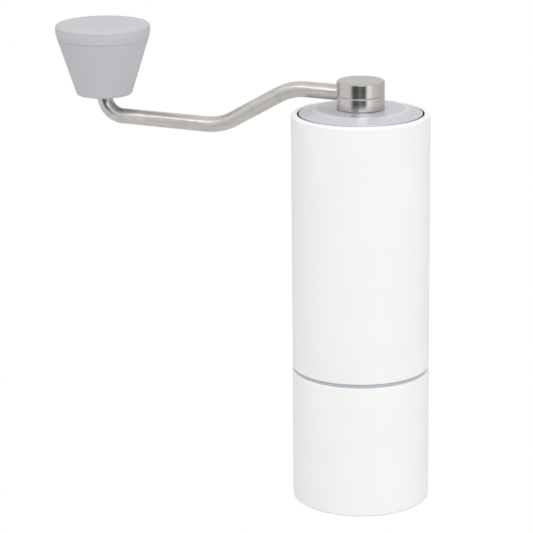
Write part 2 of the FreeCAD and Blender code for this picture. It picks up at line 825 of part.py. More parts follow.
def click_plate():
    """The dimpled plate under the cone burr that the dial's balls click against."""
    body = new_body("click_plate", "plate_base")
    revolve(body, "plate", [
        ("shaft_radius + slip_gap", "0"),
        ("plate_diameter / 2", "0"),
        ("plate_diameter / 2", "plate_height"),
        ("shaft_radius + slip_gap", "plate_height"),
    ])
    dimple = primitive(
        body, "SubtractiveSphere", "dimple", x="detent_circle / 2",
        z="detent_bite - detent_ball / 2", Radius="detent_ball / 2")
    pattern(body, "dimples", dimple, CLICK_COUNT)


def detents():
    """Two spring-loaded balls in the dial."""
    balls = []
    springs = []
    for index in range(DETENT_COUNT):
        x, y = around("detent_circle / 2", index, DETENT_COUNT)
        ball = doc.addObject("Part::Sphere", f"detent_ball_{index}")
        ball.setExpression("Radius", bound("detent_ball / 2"))
        place(ball, x, y, "dial_base + detent_lift")
        balls.append(ball)
        spring = coil_spring(
            f"detent_spring_{index}", "detent_wire", "detent_spring_circle",
            "detent_pitch", "detent_spring_height", "detent_spring_base")
        place(spring, x, y)
        springs.append(spring)
    group("detent_balls", balls)
    group("detent_springs", springs)


def lid():
    """The lid: a crowned plate, a plug with a seal groove, a boss for the crank's bush."""
    body = new_body("lid", "lid_base")
    revolve(body, "plate", [
        ("lid_plug_bore", "0"),
        ("lid_plug_radius", "0"),
        ("lid_plug_radius", "lid_seal_lift"),
        ("lid_seal_bore", "lid_seal_lift"),
        ("lid_seal_bore", "lid_seal_lift + lid_seal_height"),
        ("lid_plug_radius", "lid_seal_lift + lid_seal_height"),
        ("lid_plug_radius", "lid_edge"),
        ("lid_radius", "lid_edge"),
        ("lid_radius", "lid_shoulder"),
        ("lid_flat_diameter / 2", "lid_top"),
        ("lid_hole", "lid_top"),
        ("lid_hole", "lid_boss_base"),
        ("lid_boss_radius", "lid_boss_base"),
        ("lid_boss_radius", "lid_under"),
        ("lid_plug_bore", "lid_under"),
    ])
    round_edges(body, "lid_rounding", "edge_break", [(size("lid_radius"), size("lid_shoulder"))])


def lid_seal():
    """The soft ring that keeps the lid in place."""
    body = new_body("lid_seal", "lid_base + lid_seal_lift + rest_gap / 2")
    height = "lid_seal_height - rest_gap"
    revolve(body, "ring", [
        ("lid_seal_bore + push_gap", "0"),
        ("lid_seal_radius - edge_break", "0"),
        ("lid_seal_radius", f"({height}) / 2 - edge_break"),
        ("lid_seal_radius", f"({height}) / 2 + edge_break"),
        ("lid_seal_radius - edge_break", height),
        ("lid_seal_bore + push_gap", height),
    ])


def crank_hub():
    """The turned hub on the lid, with a neck through it and a blind five-sided socket."""
    body = new_body("crank_hub", "hub_base")
    clip_foot = "crank_circlip_base - hub_base"
    clip_top = f"{clip_foot} + circlip_height + rest_gap"
    groove_mid = "hub_neck_length + hub_groove_lift"
    revolve(body, "turned_shape", [
        ("0", "0"),
        ("neck_outer - edge_break", "0"),
        ("neck_outer", "edge_break"),
        ("neck_outer", clip_foot),
        ("neck_outer - circlip_depth", clip_foot),
        ("neck_outer - circlip_depth", clip_top),
        ("neck_outer", clip_top),
        ("neck_outer", "hub_neck_length"),
        ("hub_radius - edge_break", "hub_neck_length"),
        ("hub_radius", "hub_neck_length + edge_break"),
        ("hub_radius", f"{groove_mid} - hub_groove_width / 2"),
        ("hub_radius - hub_groove_depth", groove_mid),
        ("hub_radius", f"{groove_mid} + hub_groove_width / 2"),
        ("hub_radius", "hub_top - hub_chamfer"),
        ("hub_radius - hub_chamfer", "hub_top"),
        ("0", "hub_top"),
    ])
    about_face = FreeCAD.Rotation(vector(0, 0, 1), HALF_TURN)
    prism(body, "SubtractivePrism", "socket", DRIVE_SIDES, rotation=about_face,
          Circumradius="shaft_radius + drive_gap * 3 / 2", Height="hub_socket_depth")
    across = FreeCAD.Rotation(vector(0, 1, 0), FULL_TURN / 4)
    primitive(
        body, "SubtractiveCylinder", "rod_hole", x="rod_start - rest_gap",
        z="hub_neck_length + rod_lift", rotation=across,
        Radius="rod_radius + push_gap", Height="hub_diameter")
    turn(body, HALF_TURN)


def short_arc(first, last, centre, radius):
    """The shorter arc between two points of a circle, drawn anticlockwise."""
    start = math.atan2(first.y - centre.y, first.x - centre.x)
    end = math.atan2(last.y - centre.y, last.x - centre.x)
    if (end - start) % math.tau > math.pi:
        start, end = end, start
    end = start + (end - start) % math.tau
    return Part.ArcOfCircle(Part.Circle(centre, vector(0, 0, 1), radius), start, end)


def path_through(sketch, start, corners, end):
    """Draw a path of straight lines joined by arcs, each corner a position and a bend radius."""
    spots = [start] + [corner[:2] for corner in corners] + [end]
    numbers = [vector(size(x), size(y), 0) for x, y in spots]
    radii = [size(corner[2]) for corner in corners]
    feet = [numbers[0]]
    arcs = []
    for index, radius in enumerate(radii, start=1):
        back = (numbers[index - 1] - numbers[index]).normalize()
        ahead = (numbers[index + 1] - numbers[index]).normalize()
        half = back.getAngle(ahead) / 2
        reach = radius / math.tan(half)
        first = numbers[index] + back * reach
        last = numbers[index] + ahead * reach
        centre = numbers[index] + (back + ahead).normalize() * (radius / math.sin(half))
        feet += [first, last]
        arcs.append(short_arc(first, last, centre, radius))
    feet.append(numbers[-1])
    for index in range(len(corners) + 1):
        sketch.addGeometry(Part.LineSegment(feet[2 * index], feet[2 * index + 1]), False)
    for arc in arcs:
        sketch.addGeometry(arc, False)
    line_count = len(corners) + 1
    for index, (x, y, radius) in enumerate(corners):
        arc = line_count + index
        join_arc(sketch, index, arc, feet[2 * index + 1])
        join_arc(sketch, index + 1, arc, feet[2 * index + 2], first_end=True)
        held = sketch.addConstraint(Sketcher.Constraint("Radius", arc, size(radius)))
        sketch.setExpression(f"Constraints[{held}]", bound(radius))
        point = sketch.addGeometry(Part.Point(numbers[index + 1]), True)
        pin_point(sketch, point, 1, x, y, numbers[index + 1])
        for line in (index, index + 1):
            sketch.addConstraint(Sketcher.Constraint("PointOnObject", point, 1, line))
    pin_point(sketch, 0, 1, *start, numbers[0])
    pin_point(sketch, line_count - 1, 2, *end, numbers[-1])


def join_arc(sketch, line, arc, spot, first_end=False):
    """Make a line run smoothly into the end of an arc that lies at a spot."""
    ends = {1: sketch.Geometry[arc].StartPoint, 2: sketch.Geometry[arc].EndPoint}
    arc_end = min(ends, key=lambda end: (ends[end] - spot).Length)
    line_end = 1 if first_end else 2
    sketch.addConstraint(Sketcher.Constraint("Tangent", line, line_end, arc, arc_end))


def crank_rod():
    """The bent round rod from the hub to the knob, with a tapped end."""
    body = new_body("crank_rod")
    path = sketch_on(body, "path")
    path_through(
        path, ("rod_start", "rod_axis"),
        [
            ("rod_slope_start", "rod_axis", "rod_bend"),
            ("rod_slope_end", "rod_outer_axis", "rod_bend"),
            ("crank_reach", "rod_outer_axis", "rod_end_bend"),
        ],
        ("crank_reach", "rod_tip"))
    section = sketch_on(body, "section", "YZ_Plane")
    section.AttachmentOffset = FreeCAD.Placement(
        vector(0, 0, size("rod_start")), FreeCAD.Rotation())
    section.addGeometry(
        Part.Circle(vector(0, size("rod_axis"), 0), vector(0, 0, 1), size("rod_radius")), False)
    section.addConstraint(Sketcher.Constraint("PointOnObject", 0, 3, -2))
    height = section.addConstraint(
        Sketcher.Constraint("DistanceY", -1, 1, 0, 3, size("rod_axis")))
    section.setExpression(f"Constraints[{height}]", bound("rod_axis"))
    thick = section.addConstraint(Sketcher.Constraint("Radius", 0, size("rod_radius")))
    section.setExpression(f"Constraints[{thick}]", bound("rod_radius"))
    rod = body.newObject("PartDesign::AdditivePipe", "rod")
    rod.Profile = section
    rod.Spine = (path, [])
    primitive(
        body, "SubtractiveCylinder", "tapped_hole", x="crank_reach",
        z="knob_screw_foot - rest_gap", Radius="knob_screw_diameter / 2 + push_gap",
        Height="knob_screw_length")
    turn(body, HALF_TURN)


def knob_body():
    """The hollow cone of the knob, with a boss for its bushing."""
    body = new_body("knob_body", "knob_base", "-crank_reach")
    revolve(body, "shell", [
        ("knob_bore", "0"),
        ("knob_base_diameter / 2", "0"),
        ("knob_split_diameter / 2 - parting_gap", "knob_split - parting_gap"),
        ("knob_split_diameter / 2 - 2 * parting_gap", "knob_split"),
        ("spigot_bore", "knob_split"),
        ("spigot_bore", "spigot_foot"),
        ("knob_base_diameter / 2 - knob_floor_wall", "knob_floor"),
        ("knob_boss_diameter / 2", "knob_floor"),
        ("knob_boss_diameter / 2", "knob_boss_height"),
        ("knob_bore", "knob_boss_height"),
    ])
    round_edges(body, "base_rounding", "knob_base_round", [(size("knob_base_diameter") / 2, 0.0)])


def knob_cap():
    """The knob's top: a closed cap with a spigot that plugs into the cone."""
    body = new_body("knob_cap", "knob_base", "-crank_reach")
    revolve(body, "shell", [
        ("0", "knob_height"),
        ("knob_top_diameter / 2", "knob_height"),
        ("knob_top_diameter / 2", "knob_band"),
        ("knob_split_diameter / 2", "knob_split + parting_gap"),
        ("knob_split_diameter / 2 - 2 * parting_gap", "knob_split + rest_gap"),
        ("spigot_bore - push_gap", "knob_split + rest_gap"),
        ("spigot_bore - push_gap", "spigot_foot + slip_gap"),
        ("spigot_bore - spigot_wall", "spigot_foot + slip_gap"),
        ("spigot_bore - spigot_wall", "knob_height - knob_plate"),
        ("0", "knob_height - knob_plate"),
    ])
    top_edge = [(size("knob_top_diameter") / 2, size("knob_height"))]
    round_edges(body, "top_rounding", "knob_top_round", top_edge)


def knob_bushing():
    """The flanged sleeve that the rod's end turns in."""
    body = new_body("knob_bushing", "knob_base", "-crank_reach")
    revolve(body, "sleeve", [
        ("bushing_bore", "slip_gap"),
        ("bushing_radius", "slip_gap"),
        ("bushing_radius", "knob_boss_height + rest_gap"),
        ("bushing_flange_diameter / 2", "knob_boss_height + rest_gap"),
        ("bushing_flange_diameter / 2", "bushing_top"),
        ("bushing_bore", "bushing_top"),
    ])


def jar_shell():
    """The outer cup of the jar."""
    body = new_body("jar_shell")
    revolve(body, "cup", [
        ("0", "0"),
        ("jar_radius", "0"),
        ("jar_radius", "jar_height - edge_break"),
        ("jar_radius - edge_break", "jar_height"),
        ("jar_bore", "jar_height"),
        ("jar_bore", "jar_floor"),
        ("0", "jar_floor"),
    ])
    round_edges(body, "foot_rounding", "jar_round", [(size("jar_radius"), 0.0)])


def jar_liner():
    """The inner cup of the jar, with the threaded neck."""
    body = new_body("jar_liner", "liner_base")
    neck_top = "liner_shoulder + ring_height + neck_height"
    revolve(body, "cup", [
        ("0", "0"),
        ("liner_radius", "0"),
        ("liner_radius", "liner_shoulder"),
        ("neck_radius", "liner_shoulder"),
        ("neck_radius", f"{neck_top} - edge_break"),
        ("neck_radius - edge_break", neck_top),
        ("neck_bore", neck_top),
        ("neck_bore", "liner_shoulder - liner_wall"),
        ("liner_bore", "liner_shoulder - liner_wall - liner_bore + neck_bore"),
        ("liner_bore", "liner_wall"),
        ("0", "liner_wall"),
    ])
    thread_ridge(body, "thread", "neck_radius - push_gap", "inner_crest", "inner_thread_rise")


def jar_ring():
    """The ring between the jar and the tube that the joint closes on."""
    collar("jar_ring", "neck_radius + slip_gap / 2", "jar_radius - ring_inset",
           "ring_height - 2 * rest_gap", "jar_height + rest_gap")


def build():
    """Make every piece."""
    jar_shell()
    jar_liner()
    jar_ring()
    body_tube()
    burr_carrier()
    ring_burr()
    burr_clamp_screws()
    split_ring("carrier_snap_ring", "bore_radius - snap_ring_reach", "bore_radius + snap_ring_depth",
               "snap_ring_height", "carrier_base + carrier_height + rest_gap")
    split_ring("bridge_snap_ring", "bore_radius - snap_ring_reach", "bore_radius + snap_ring_depth",
               "snap_ring_height", "bridge_base - snap_ring_height - rest_gap")
    bearing_bridge()
    ball_bearing("lower", "lower_bearing")
    ball_bearing("upper", "upper_bearing")
    drive_shaft()
    collar("spacer_sleeve", "race_bore", "sleeve_diameter / 2", "sleeve_length", "sleeve_base")
    split_ring("shaft_circlip", "shaft_radius - circlip_depth + push_gap",
               "shaft_radius + circlip_reach", "circlip_height", "shaft_circlip_base")
    cone_burr()
    click_plate()
    spring = coil_spring("burr_spring", "burr_spring_wire", "burr_spring_circle",
                         "burr_spring_pitch", "burr_spring_height", "burr_spring_base")
    pieces.append(spring)
    grind_dial()
    detents()
    lid()
    lid_seal()
    collar("lid_bush", "bush_bore", "bush_radius", "lid_top - lid_boss_base - rest_gap",
           "lid_base + lid_boss_base")
    crank_hub()
    collar("crank_washer", "neck_outer + push_gap", "lid_boss_radius - edge_break",
           "crank_washer_height", "crank_washer_base")
    split_ring("crank_circlip", "neck_outer - circlip_depth + push_gap",
               "neck_outer + circlip_reach", "circlip_height", "crank_circlip_base")
    crank_rod()
    knob_body()
    knob_bushing()
    collar("knob_washer", "knob_screw_diameter / 2 + push_gap", "knob_washer_diameter / 2",
           "knob_washer_height", "knob_base + rod_end + push_gap", "-crank_reach")
    pieces.append(screw(
        "knob_screw", "knob_screw_diameter / 2", "knob_screw_length", "knob_screw_head_diameter / 2",
        "knob_screw_head_height", "knob_screw_foot", "-crank_reach", head_up=True))
    knob_cap()


def export():
    """Check every piece and write it to its own file."""
    os.makedirs("parts", exist_ok=True)
    for piece in pieces:
        shape = piece.Shape
        if shape.isNull() or not shape.isValid():
            raise RuntimeError(f"{piece.Label} has no valid shape")
        if "Invalid" in piece.State or "Error" in piece.State:
            raise RuntimeError(f"{piece.Label} did not rebuild")
        shape.exportStep(f"parts/{piece.Label}.step")
        print(piece.Label, len(shape.Solids), round(shape.Volume, 2))


sizes = fill_sheet("Sizes", {alias: str(value) for alias, value in SIZES.items()})
doc.recompute()
derived = fill_sheet("Derived", {alias: f"={bound(text)}" for alias, text in DERIVED.items()})
doc.recompute()
build()
doc.recompute()
for item in doc.Objects:
    if "Invalid" in item.State or "Error" in item.State:
        raise RuntimeError(f"{item.Name} did not rebuild")
export()
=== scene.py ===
import bpy
import json
import math
import numpy as np
from mathutils import Matrix, Vector


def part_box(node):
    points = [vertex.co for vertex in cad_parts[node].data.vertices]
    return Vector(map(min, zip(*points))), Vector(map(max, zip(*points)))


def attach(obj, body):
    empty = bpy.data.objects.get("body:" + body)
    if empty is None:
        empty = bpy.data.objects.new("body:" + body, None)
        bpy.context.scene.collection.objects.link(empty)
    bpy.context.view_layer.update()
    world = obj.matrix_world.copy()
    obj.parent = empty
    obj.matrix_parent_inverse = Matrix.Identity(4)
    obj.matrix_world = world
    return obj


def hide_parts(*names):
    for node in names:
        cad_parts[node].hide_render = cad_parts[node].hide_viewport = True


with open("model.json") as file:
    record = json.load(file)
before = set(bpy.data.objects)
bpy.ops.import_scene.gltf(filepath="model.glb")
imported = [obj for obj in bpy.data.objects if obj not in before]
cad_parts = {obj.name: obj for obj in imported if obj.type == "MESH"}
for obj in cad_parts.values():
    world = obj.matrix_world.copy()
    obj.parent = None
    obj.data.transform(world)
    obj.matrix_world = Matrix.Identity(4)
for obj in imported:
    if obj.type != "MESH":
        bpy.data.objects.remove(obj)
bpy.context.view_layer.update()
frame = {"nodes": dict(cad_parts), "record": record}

# Hand crank coffee grinder. Metres, +Z up, the axis through the origin, the crank along -X.
# The turned pieces are profiles carried round an axis, and the rod is a circle carried along a path.

MM = 0.001

# ---------------------------------------------------------------- measures read from the frame
tube_low, tube_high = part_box("body_tube")
jar_low, jar_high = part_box("jar_shell")
liner_low, liner_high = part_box("jar_liner")
ring_low, ring_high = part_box("jar_ring")
lid_low, lid_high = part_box("lid")
hub_low, hub_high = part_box("crank_hub")
rod_low, rod_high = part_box("crank_rod")
knob_low, knob_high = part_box("knob_body")
cap_low, cap_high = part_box("knob_cap")
bushing_low, bushing_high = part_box("knob_bushing")
bridge_low, bridge_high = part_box("bearing_bridge")
cone_low, cone_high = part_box("cone_burr")
teeth_low, teeth_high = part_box("ring_burr")

TUBE_RADIUS = tube_high.x
TUBE_WALL = 2.3 * MM
BORE_RADIUS = TUBE_RADIUS - TUBE_WALL
THREAD_BORE = BORE_RADIUS - 0.6 * MM
THREAD_DEPTH = 1.0 * MM
THREAD_LEAD = 4.8 * MM
THREAD_STARTS = 2
THREAD_RISE = 2.0 * MM
THREAD_CLEARANCE = 0.3 * MM
THREAD_PITCH = THREAD_LEAD / THREAD_STARTS
THREAD_TURNS = 1.0
THREAD_HALF_ROOT = 0.5 * MM
THREAD_HALF_CREST = 0.25 * MM
KNOB_AXIS = (bushing_low.x + bushing_high.x) / 2
CRANK_REACH = -KNOB_AXIS
NECK_RADIUS = THREAD_BORE - THREAD_DEPTH - THREAD_CLEARANCE
NECK_BORE = NECK_RADIUS - 1.8 * MM


# ---------------------------------------------------------------- surfaces
def rounded_profile(corners, closed):
    """Sample a profile of straight runs whose corners are arcs.

    Each corner is radius, height, arc radius and an optional spacing for the run that
    follows it. An arc starts and ends where it touches the runs, at a distance of the arc
    radius over the tangent of half the corner's angle. A point just outside each arc keeps
    the shading of the long runs flat.
    """
    spots = np.array([corner[:2] for corner in corners], float)
    count = len(spots)
    points = []
    for index, corner in enumerate(corners):
        spot, bend = spots[index], corner[2]
        back = spots[(index - 1) % count] - spot
        ahead = spots[(index + 1) % count] - spot
        at_end = not closed and index in (0, count - 1)
        if bend > 0 and not at_end:
            back_length, ahead_length = np.linalg.norm(back), np.linalg.norm(ahead)
            back, ahead = back / back_length, ahead / ahead_length
            half = math.acos(np.clip(back @ ahead, -1, 1)) / 2
            reach = bend / math.tan(half)
            middle = (back + ahead) / np.linalg.norm(back + ahead)
            centre = spot + middle * bend / math.sin(half)
            sweep = math.pi - 2 * half
            steps = max(3, int(math.degrees(sweep) / 9))
            turn = np.linspace(-0.5, 0.5, steps + 1) * sweep
            side = np.array([-middle[1], middle[0]])
            side = side if side @ back < 0 else -side
            arc = centre - bend * (np.cos(turn)[:, None] * middle - np.sin(turn)[:, None] * side)
            margin = min(0.3 * bend, 0.1 * MM)
            points.append((spot + back * min(reach + margin, 0.49 * back_length))[None])
            points.append(arc)
            points.append((spot + ahead * min(reach + margin, 0.49 * ahead_length))[None])
        else:
            points.append(spot[None])
        if len(corner) > 3 and (closed or index < count - 1):
            length = np.linalg.norm(spots[(index + 1) % count] - spot)
            cuts = int(length / corner[3])
            share = (np.arange(1, cuts) / cuts)[:, None]
            start = points[-1][-1]
            points.append(start + share * (spots[(index + 1) % count] - start))
    return np.concatenate(points)


def mesh_piece(name, points, faces, body, node, material, attributes=None, sharp=35.0):
    """Make a closed mesh from points and faces, face it outwards, and put it on its body.

    Its signed volume, the sum of each triangle's a . (b x c), is positive when faces point out.
    """
    mesh = bpy.data.meshes.new(name)
    mesh.from_pydata(points, [], faces)
    mesh.update()
    quads = np.array([face for face in faces if len(face) == 4], int).reshape(-1, 4)
    fans = np.array([face for face in faces if len(face) == 3], int).reshape(-1, 3)
    flat = np.concatenate([quads[:, [0, 1, 2]], quads[:, [0, 2, 3]], fans])
    a, b, c = points[flat[:, 0]], points[flat[:, 1]], points[flat[:, 2]]
    if np.einsum("ij,ij->i", a, np.cross(b, c)).sum() < 0:
        mesh.flip_normals()
    for key, values in (attributes or {}).items():
        layer = mesh.attributes.new(key, "FLOAT_VECTOR", "POINT")
        layer.data.foreach_set("vector", np.ascontiguousarray(values, np.float32).ravel())
    mesh.shade_smooth()
    mesh.set_sharp_from_angle(angle=math.radians(sharp))
    mesh.materials.append(material)
    piece = bpy.data.objects.new(name, mesh)
    bpy.context.scene.collection.objects.link(piece)
    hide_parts(node)
    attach(piece, body)
    return piece


def turned(name, corners, body, node, material, closed=True, axis_x=0.0, segments=256,
           relief=None, sharp=35.0):
    """Carry a profile round a vertical axis.

    The point at angle t and profile position s is radius(s) times the cosine and sine of t,
    and height(s). A relief adds to the radius as a function of angle, radius and height.
    Profile points on the axis become one shared pole each.
    """
    profile = rounded_profile(corners, closed)
    on_axis = profile[:, 0] < 1e-9
    rows = profile[~on_axis]
    angle = np.arange(segments) * math.tau / segments
    angles, radii = np.meshgrid(angle, rows[:, 0], indexing="ij")
    heights = np.broadcast_to(rows[:, 1], radii.shape).copy()
    if relief is not None:
        radii = radii + relief(angles, radii, heights)
    grid = np.stack([axis_x + radii * np.cos(angles), radii * np.sin(angles), heights], axis=-1)
    points = grid.reshape(-1, 3)
    count = len(rows)
    step = np.arange(segments)
    after = (step + 1) % segments
    last = count if closed else count - 1
    along = np.arange(last)
    near, across = np.meshgrid(step, along, indexing="ij")
    far = after[near]
    over = (across + 1) % count
    quads = np.stack([near * count + across, far * count + across,
                      far * count + over, near * count + over], axis=-1).reshape(-1, 4)
    faces = quads.tolist()
    if not closed:
        poles = profile[on_axis]
        for pole, row in ((poles[0], 0), (poles[-1], count - 1)):
            tip = len(points)
            points = np.concatenate([points, [[axis_x, 0.0, pole[1]]]])
            ring = [step * count + row, after * count + row]
            order = ring if row else ring[::-1]
            fan = np.stack([order[0], order[1], np.full(segments, tip)], axis=-1)
            faces += fan.tolist()
    return mesh_piece(name, points, faces, body, node, material, sharp=sharp)


def thread_wave(angles, heights, foot):
    """A screw ridge's height from 0 to 1, by angle and height.

    The distance up from the helix, taken modulo the pitch, gives a trapezium: 1 within half
    the crest's width and falling to 0 at half the root's width. The ridge fades in and out
    over a tenth of a turn at its two ends.
    """
    up = heights - foot - angles / math.tau * THREAD_LEAD
    off = (up + THREAD_PITCH / 2) % THREAD_PITCH - THREAD_PITCH / 2
    shape = np.clip((THREAD_HALF_ROOT - np.abs(off)) / (THREAD_HALF_ROOT - THREAD_HALF_CREST), 0, 1)
    run = (heights - off - foot) / THREAD_LEAD
    fade = np.clip(run * 10 + 0.5, 0, 1) * np.clip((THREAD_TURNS - run) * 10 + 0.5, 0, 1)
    return shape * fade


# ---------------------------------------------------------------- materials
SLOT_OF = {entry["node"]: entry["material_slot"] for entry in frame["record"]["subparts"]}


def put(tree, kind, inputs=None, **settings):
    """Add a node. Inputs are values, or outputs to link, by socket name or number."""
    node = tree.nodes.new(kind)
    for key, value in settings.items():
        setattr(node, key, value)
    for key, value in (inputs or {}).items():
        if isinstance(value, bpy.types.NodeSocket):
            tree.links.new(value, node.inputs[key])
        else:
            node.inputs[key].default_value = value
    return node


def new_group(name, inputs, output, kind):
    """Start a node group with float or vector inputs and one output."""
    tree = bpy.data.node_groups.new(name, "ShaderNodeTree")
    for key, (socket, value) in inputs.items():
        item = tree.interface.new_socket(key, in_out="INPUT", socket_type=socket)
        if socket == "NodeSocketFloat":
            item.default_value = value
    tree.interface.new_socket(output, in_out="OUTPUT", socket_type=kind)
    return tree, tree.nodes.new("NodeGroupInput"), tree.nodes.new("NodeGroupOutput")


def axis_distance(tree, vector):
    """The vector's parts, and its distance from the upright axis through the origin."""
    split = put(tree, "ShaderNodeSeparateXYZ", {0: vector})
    flat = put(tree, "ShaderNodeCombineXYZ", {0: split.outputs[0], 1: split.outputs[1]})
    reach = put(tree, "ShaderNodeVectorMath", {0: flat.outputs[0]}, operation="LENGTH")
    return split, reach.outputs["Value"]


def make_clouds():
    """Soft patches: fractal noise stretched to run from Low to High."""
    tree, given, result = new_group("Soft patches", {
        "Vector": ("NodeSocketVector", None), "Scale": ("NodeSocketFloat", 60.0),
        "Low": ("NodeSocketFloat", 0.0), "High": ("NodeSocketFloat", 1.0)}, "Value", "NodeSocketFloat")
    noise = put(tree, "ShaderNodeTexNoise", {
        "Vector": given.outputs["Vector"], "Scale": given.outputs["Scale"], "Detail": 4.0,
        "Roughness": 0.55})
    spread = put(tree, "ShaderNodeMapRange", {
        "Value": noise.outputs[0], "From Min": 0.3, "From Max": 0.7,
        "To Min": given.outputs["Low"], "To Max": given.outputs["High"]})
    tree.links.new(spread.outputs[0], result.inputs["Value"])
    return tree


def make_grain():
    """Fine pebbled surface: noise raised as a bump."""
    tree, given, result = new_group("Pebbled grain", {
        "Vector": ("NodeSocketVector", None), "Scale": ("NodeSocketFloat", 2500.0),
        "Height": ("NodeSocketFloat", 0.00001)}, "Normal", "NodeSocketVector")
    pebbles = put(tree, "ShaderNodeTexNoise", {
        "Vector": given.outputs["Vector"], "Scale": given.outputs["Scale"], "Detail": 2.0})
    bump = put(tree, "ShaderNodeBump", {
        "Height": pebbles.outputs[0], "Distance": given.outputs["Height"], "Strength": 1.0})
    tree.links.new(bump.outputs[0], result.inputs["Normal"])
    return tree


def make_turning_marks():
    """Lathe lines: noise read by distance from the axis and by height, nearly the same all round."""
    tree, given, result = new_group("Turning marks", {
        "Vector": ("NodeSocketVector", None), "Scale": ("NodeSocketFloat", 6000.0),
        "Drift": ("NodeSocketFloat", 0.01)}, "Value", "NodeSocketFloat")
    split, reach = axis_distance(tree, given.outputs["Vector"])
    drift_x = put(tree, "ShaderNodeMath", {0: split.outputs[0], 1: given.outputs["Drift"]},
                  operation="MULTIPLY")
    across = put(tree, "ShaderNodeMath", {0: reach, 1: drift_x.outputs[0]},
                 operation="ADD")
    drift_y = put(tree, "ShaderNodeMath", {0: split.outputs[1], 1: given.outputs["Drift"]},
                  operation="MULTIPLY")
    spot = put(tree, "ShaderNodeCombineXYZ", {
        0: across.outputs[0], 1: drift_y.outputs[0], 2: split.outputs[2]})
    noise = put(tree, "ShaderNodeTexNoise", {
        "Vector": spot.outputs[0], "Scale": given.outputs["Scale"], "Detail": 3.0,
        "Roughness": 0.6})
    tree.links.new(noise.outputs[0], result.inputs["Value"])
    return tree


def make_highlight_band():
    """A mask that is 1 at a radius from the axis and fades to 0 over a width, in uneven patches. It places
    a painted highlight.
    """
    tree, given, result = new_group("Painted highlight band", {
        "Vector": ("NodeSocketVector", None), "Radius": ("NodeSocketFloat", 0.01),
        "Width": ("NodeSocketFloat", 0.001)}, "Value", "NodeSocketFloat")
    _, reach = axis_distance(tree, given.outputs["Vector"])
    off = put(tree, "ShaderNodeMath", {0: reach, 1: given.outputs["Radius"]},
              operation="SUBTRACT")
    size = put(tree, "ShaderNodeMath", {0: off.outputs[0]}, operation="ABSOLUTE")
    fade = put(tree, "ShaderNodeMapRange", {
        "Value": size.outputs[0], "From Min": given.outputs["Width"], "From Max": 0.0},
        interpolation_type="SMOOTHSTEP")
    noise = put(tree, "ShaderNodeTexNoise", {"Vector": given.outputs["Vector"], "Scale": 220.0})
    patchy = put(tree, "ShaderNodeMapRange", {
        "Value": noise.outputs[0], "From Min": 0.3, "From Max": 0.7, "To Min": 0.7, "To Max": 1.0})
    both = put(tree, "ShaderNodeMath", {0: fade.outputs[0], 1: patchy.outputs[0]}, operation="MULTIPLY")
    tree.links.new(both.outputs[0], result.inputs["Value"])
    return tree


CLOUDS = make_clouds()
HIGHLIGHT_BAND = make_highlight_band()
GRAIN = make_grain()
TURNING = make_turning_marks()


def group_node(tree, group, inputs):
    """Place a node group with its inputs."""
    return put(tree, "ShaderNodeGroup", inputs, node_tree=group)


def start_material(name):
    """A new material with its Principled shader and piece coordinates."""
    material = bpy.data.materials.new(name)
    material.use_nodes = True
    tree = material.node_tree
    shader = tree.nodes["Principled BSDF"]
    coordinates = tree.nodes.new("ShaderNodeTexCoord")
    return material, tree, shader, coordinates.outputs["Object"]


def tint(tree, factor, dark, light):
    """A colour between two, by a mask."""
    mix = put(tree, "ShaderNodeMix", data_type="RGBA")
    mix.inputs["A"].default_value = (*dark, 1.0)
    mix.inputs["B"].default_value = (*light, 1.0)
    tree.links.new(factor, mix.inputs["Factor"])
    return mix.outputs["Result"]


def moulded(name, dark, light, rough, patch=70.0, grain=2600.0, height=6e-6, metallic=0.0):
    """Coated or moulded finish: faint colour patches, uneven gloss, fine grain."""
    material, tree, shader, spot = start_material(name)
    patches = group_node(tree, CLOUDS, {"Vector": spot, "Scale": patch})
    tree.links.new(tint(tree, patches.outputs[0], dark, light), shader.inputs["Base Color"])
    gloss = group_node(tree, CLOUDS, {
        "Vector": spot, "Scale": patch * 3, "Low": rough[0], "High": rough[1]})
    tree.links.new(gloss.outputs[0], shader.inputs["Roughness"])
    bumps = group_node(tree, GRAIN, {"Vector": spot, "Scale": grain, "Height": height})
    tree.links.new(bumps.outputs[0], shader.inputs["Normal"])
    shader.inputs["Metallic"].default_value = metallic
    return material


def paint_fold_highlight(material, radius, width, highlight_colour):
    """Lighten a band about a radius from the axis: a painted highlight where the rounded fold catches
    light.
    """
    tree = material.node_tree
    shader = tree.nodes["Principled BSDF"]
    outer = shader.inputs["Base Color"].links[0].from_socket
    coordinates = tree.nodes.new("ShaderNodeTexCoord")
    band = group_node(tree, HIGHLIGHT_BAND, {
        "Vector": coordinates.outputs["Object"], "Radius": radius, "Width": width})
    mix = put(tree, "ShaderNodeMix", {"Factor": band.outputs[0], "A": outer, "B": (*highlight_colour, 1.0)},
              data_type="RGBA")
    tree.links.new(mix.outputs["Result"], shader.inputs["Base Color"])
    return material


def paint_shade_inside(material, radius, shade_colour):
    """Give a moulded finish another colour inside a radius from the piece's axis: near-black painted shade
    for the shade deep in the bore and in the gap round the lid.
    """
    tree = material.node_tree
    shader = tree.nodes["Principled BSDF"]
    outer = shader.inputs["Base Color"].links[0].from_socket
    coordinates = tree.nodes.new("ShaderNodeTexCoord")
    _, reach = axis_distance(tree, coordinates.outputs["Object"])
    outside = put(tree, "ShaderNodeMapRange", {
        "Value": reach, "From Min": radius, "From Max": radius + 0.1 * MM})
    mix = put(tree, "ShaderNodeMix", {"Factor": outside.outputs[0], "A": (*shade_colour, 1.0), "B": outer},
              data_type="RGBA")
    tree.links.new(mix.outputs["Result"], shader.inputs["Base Color"])
    return material


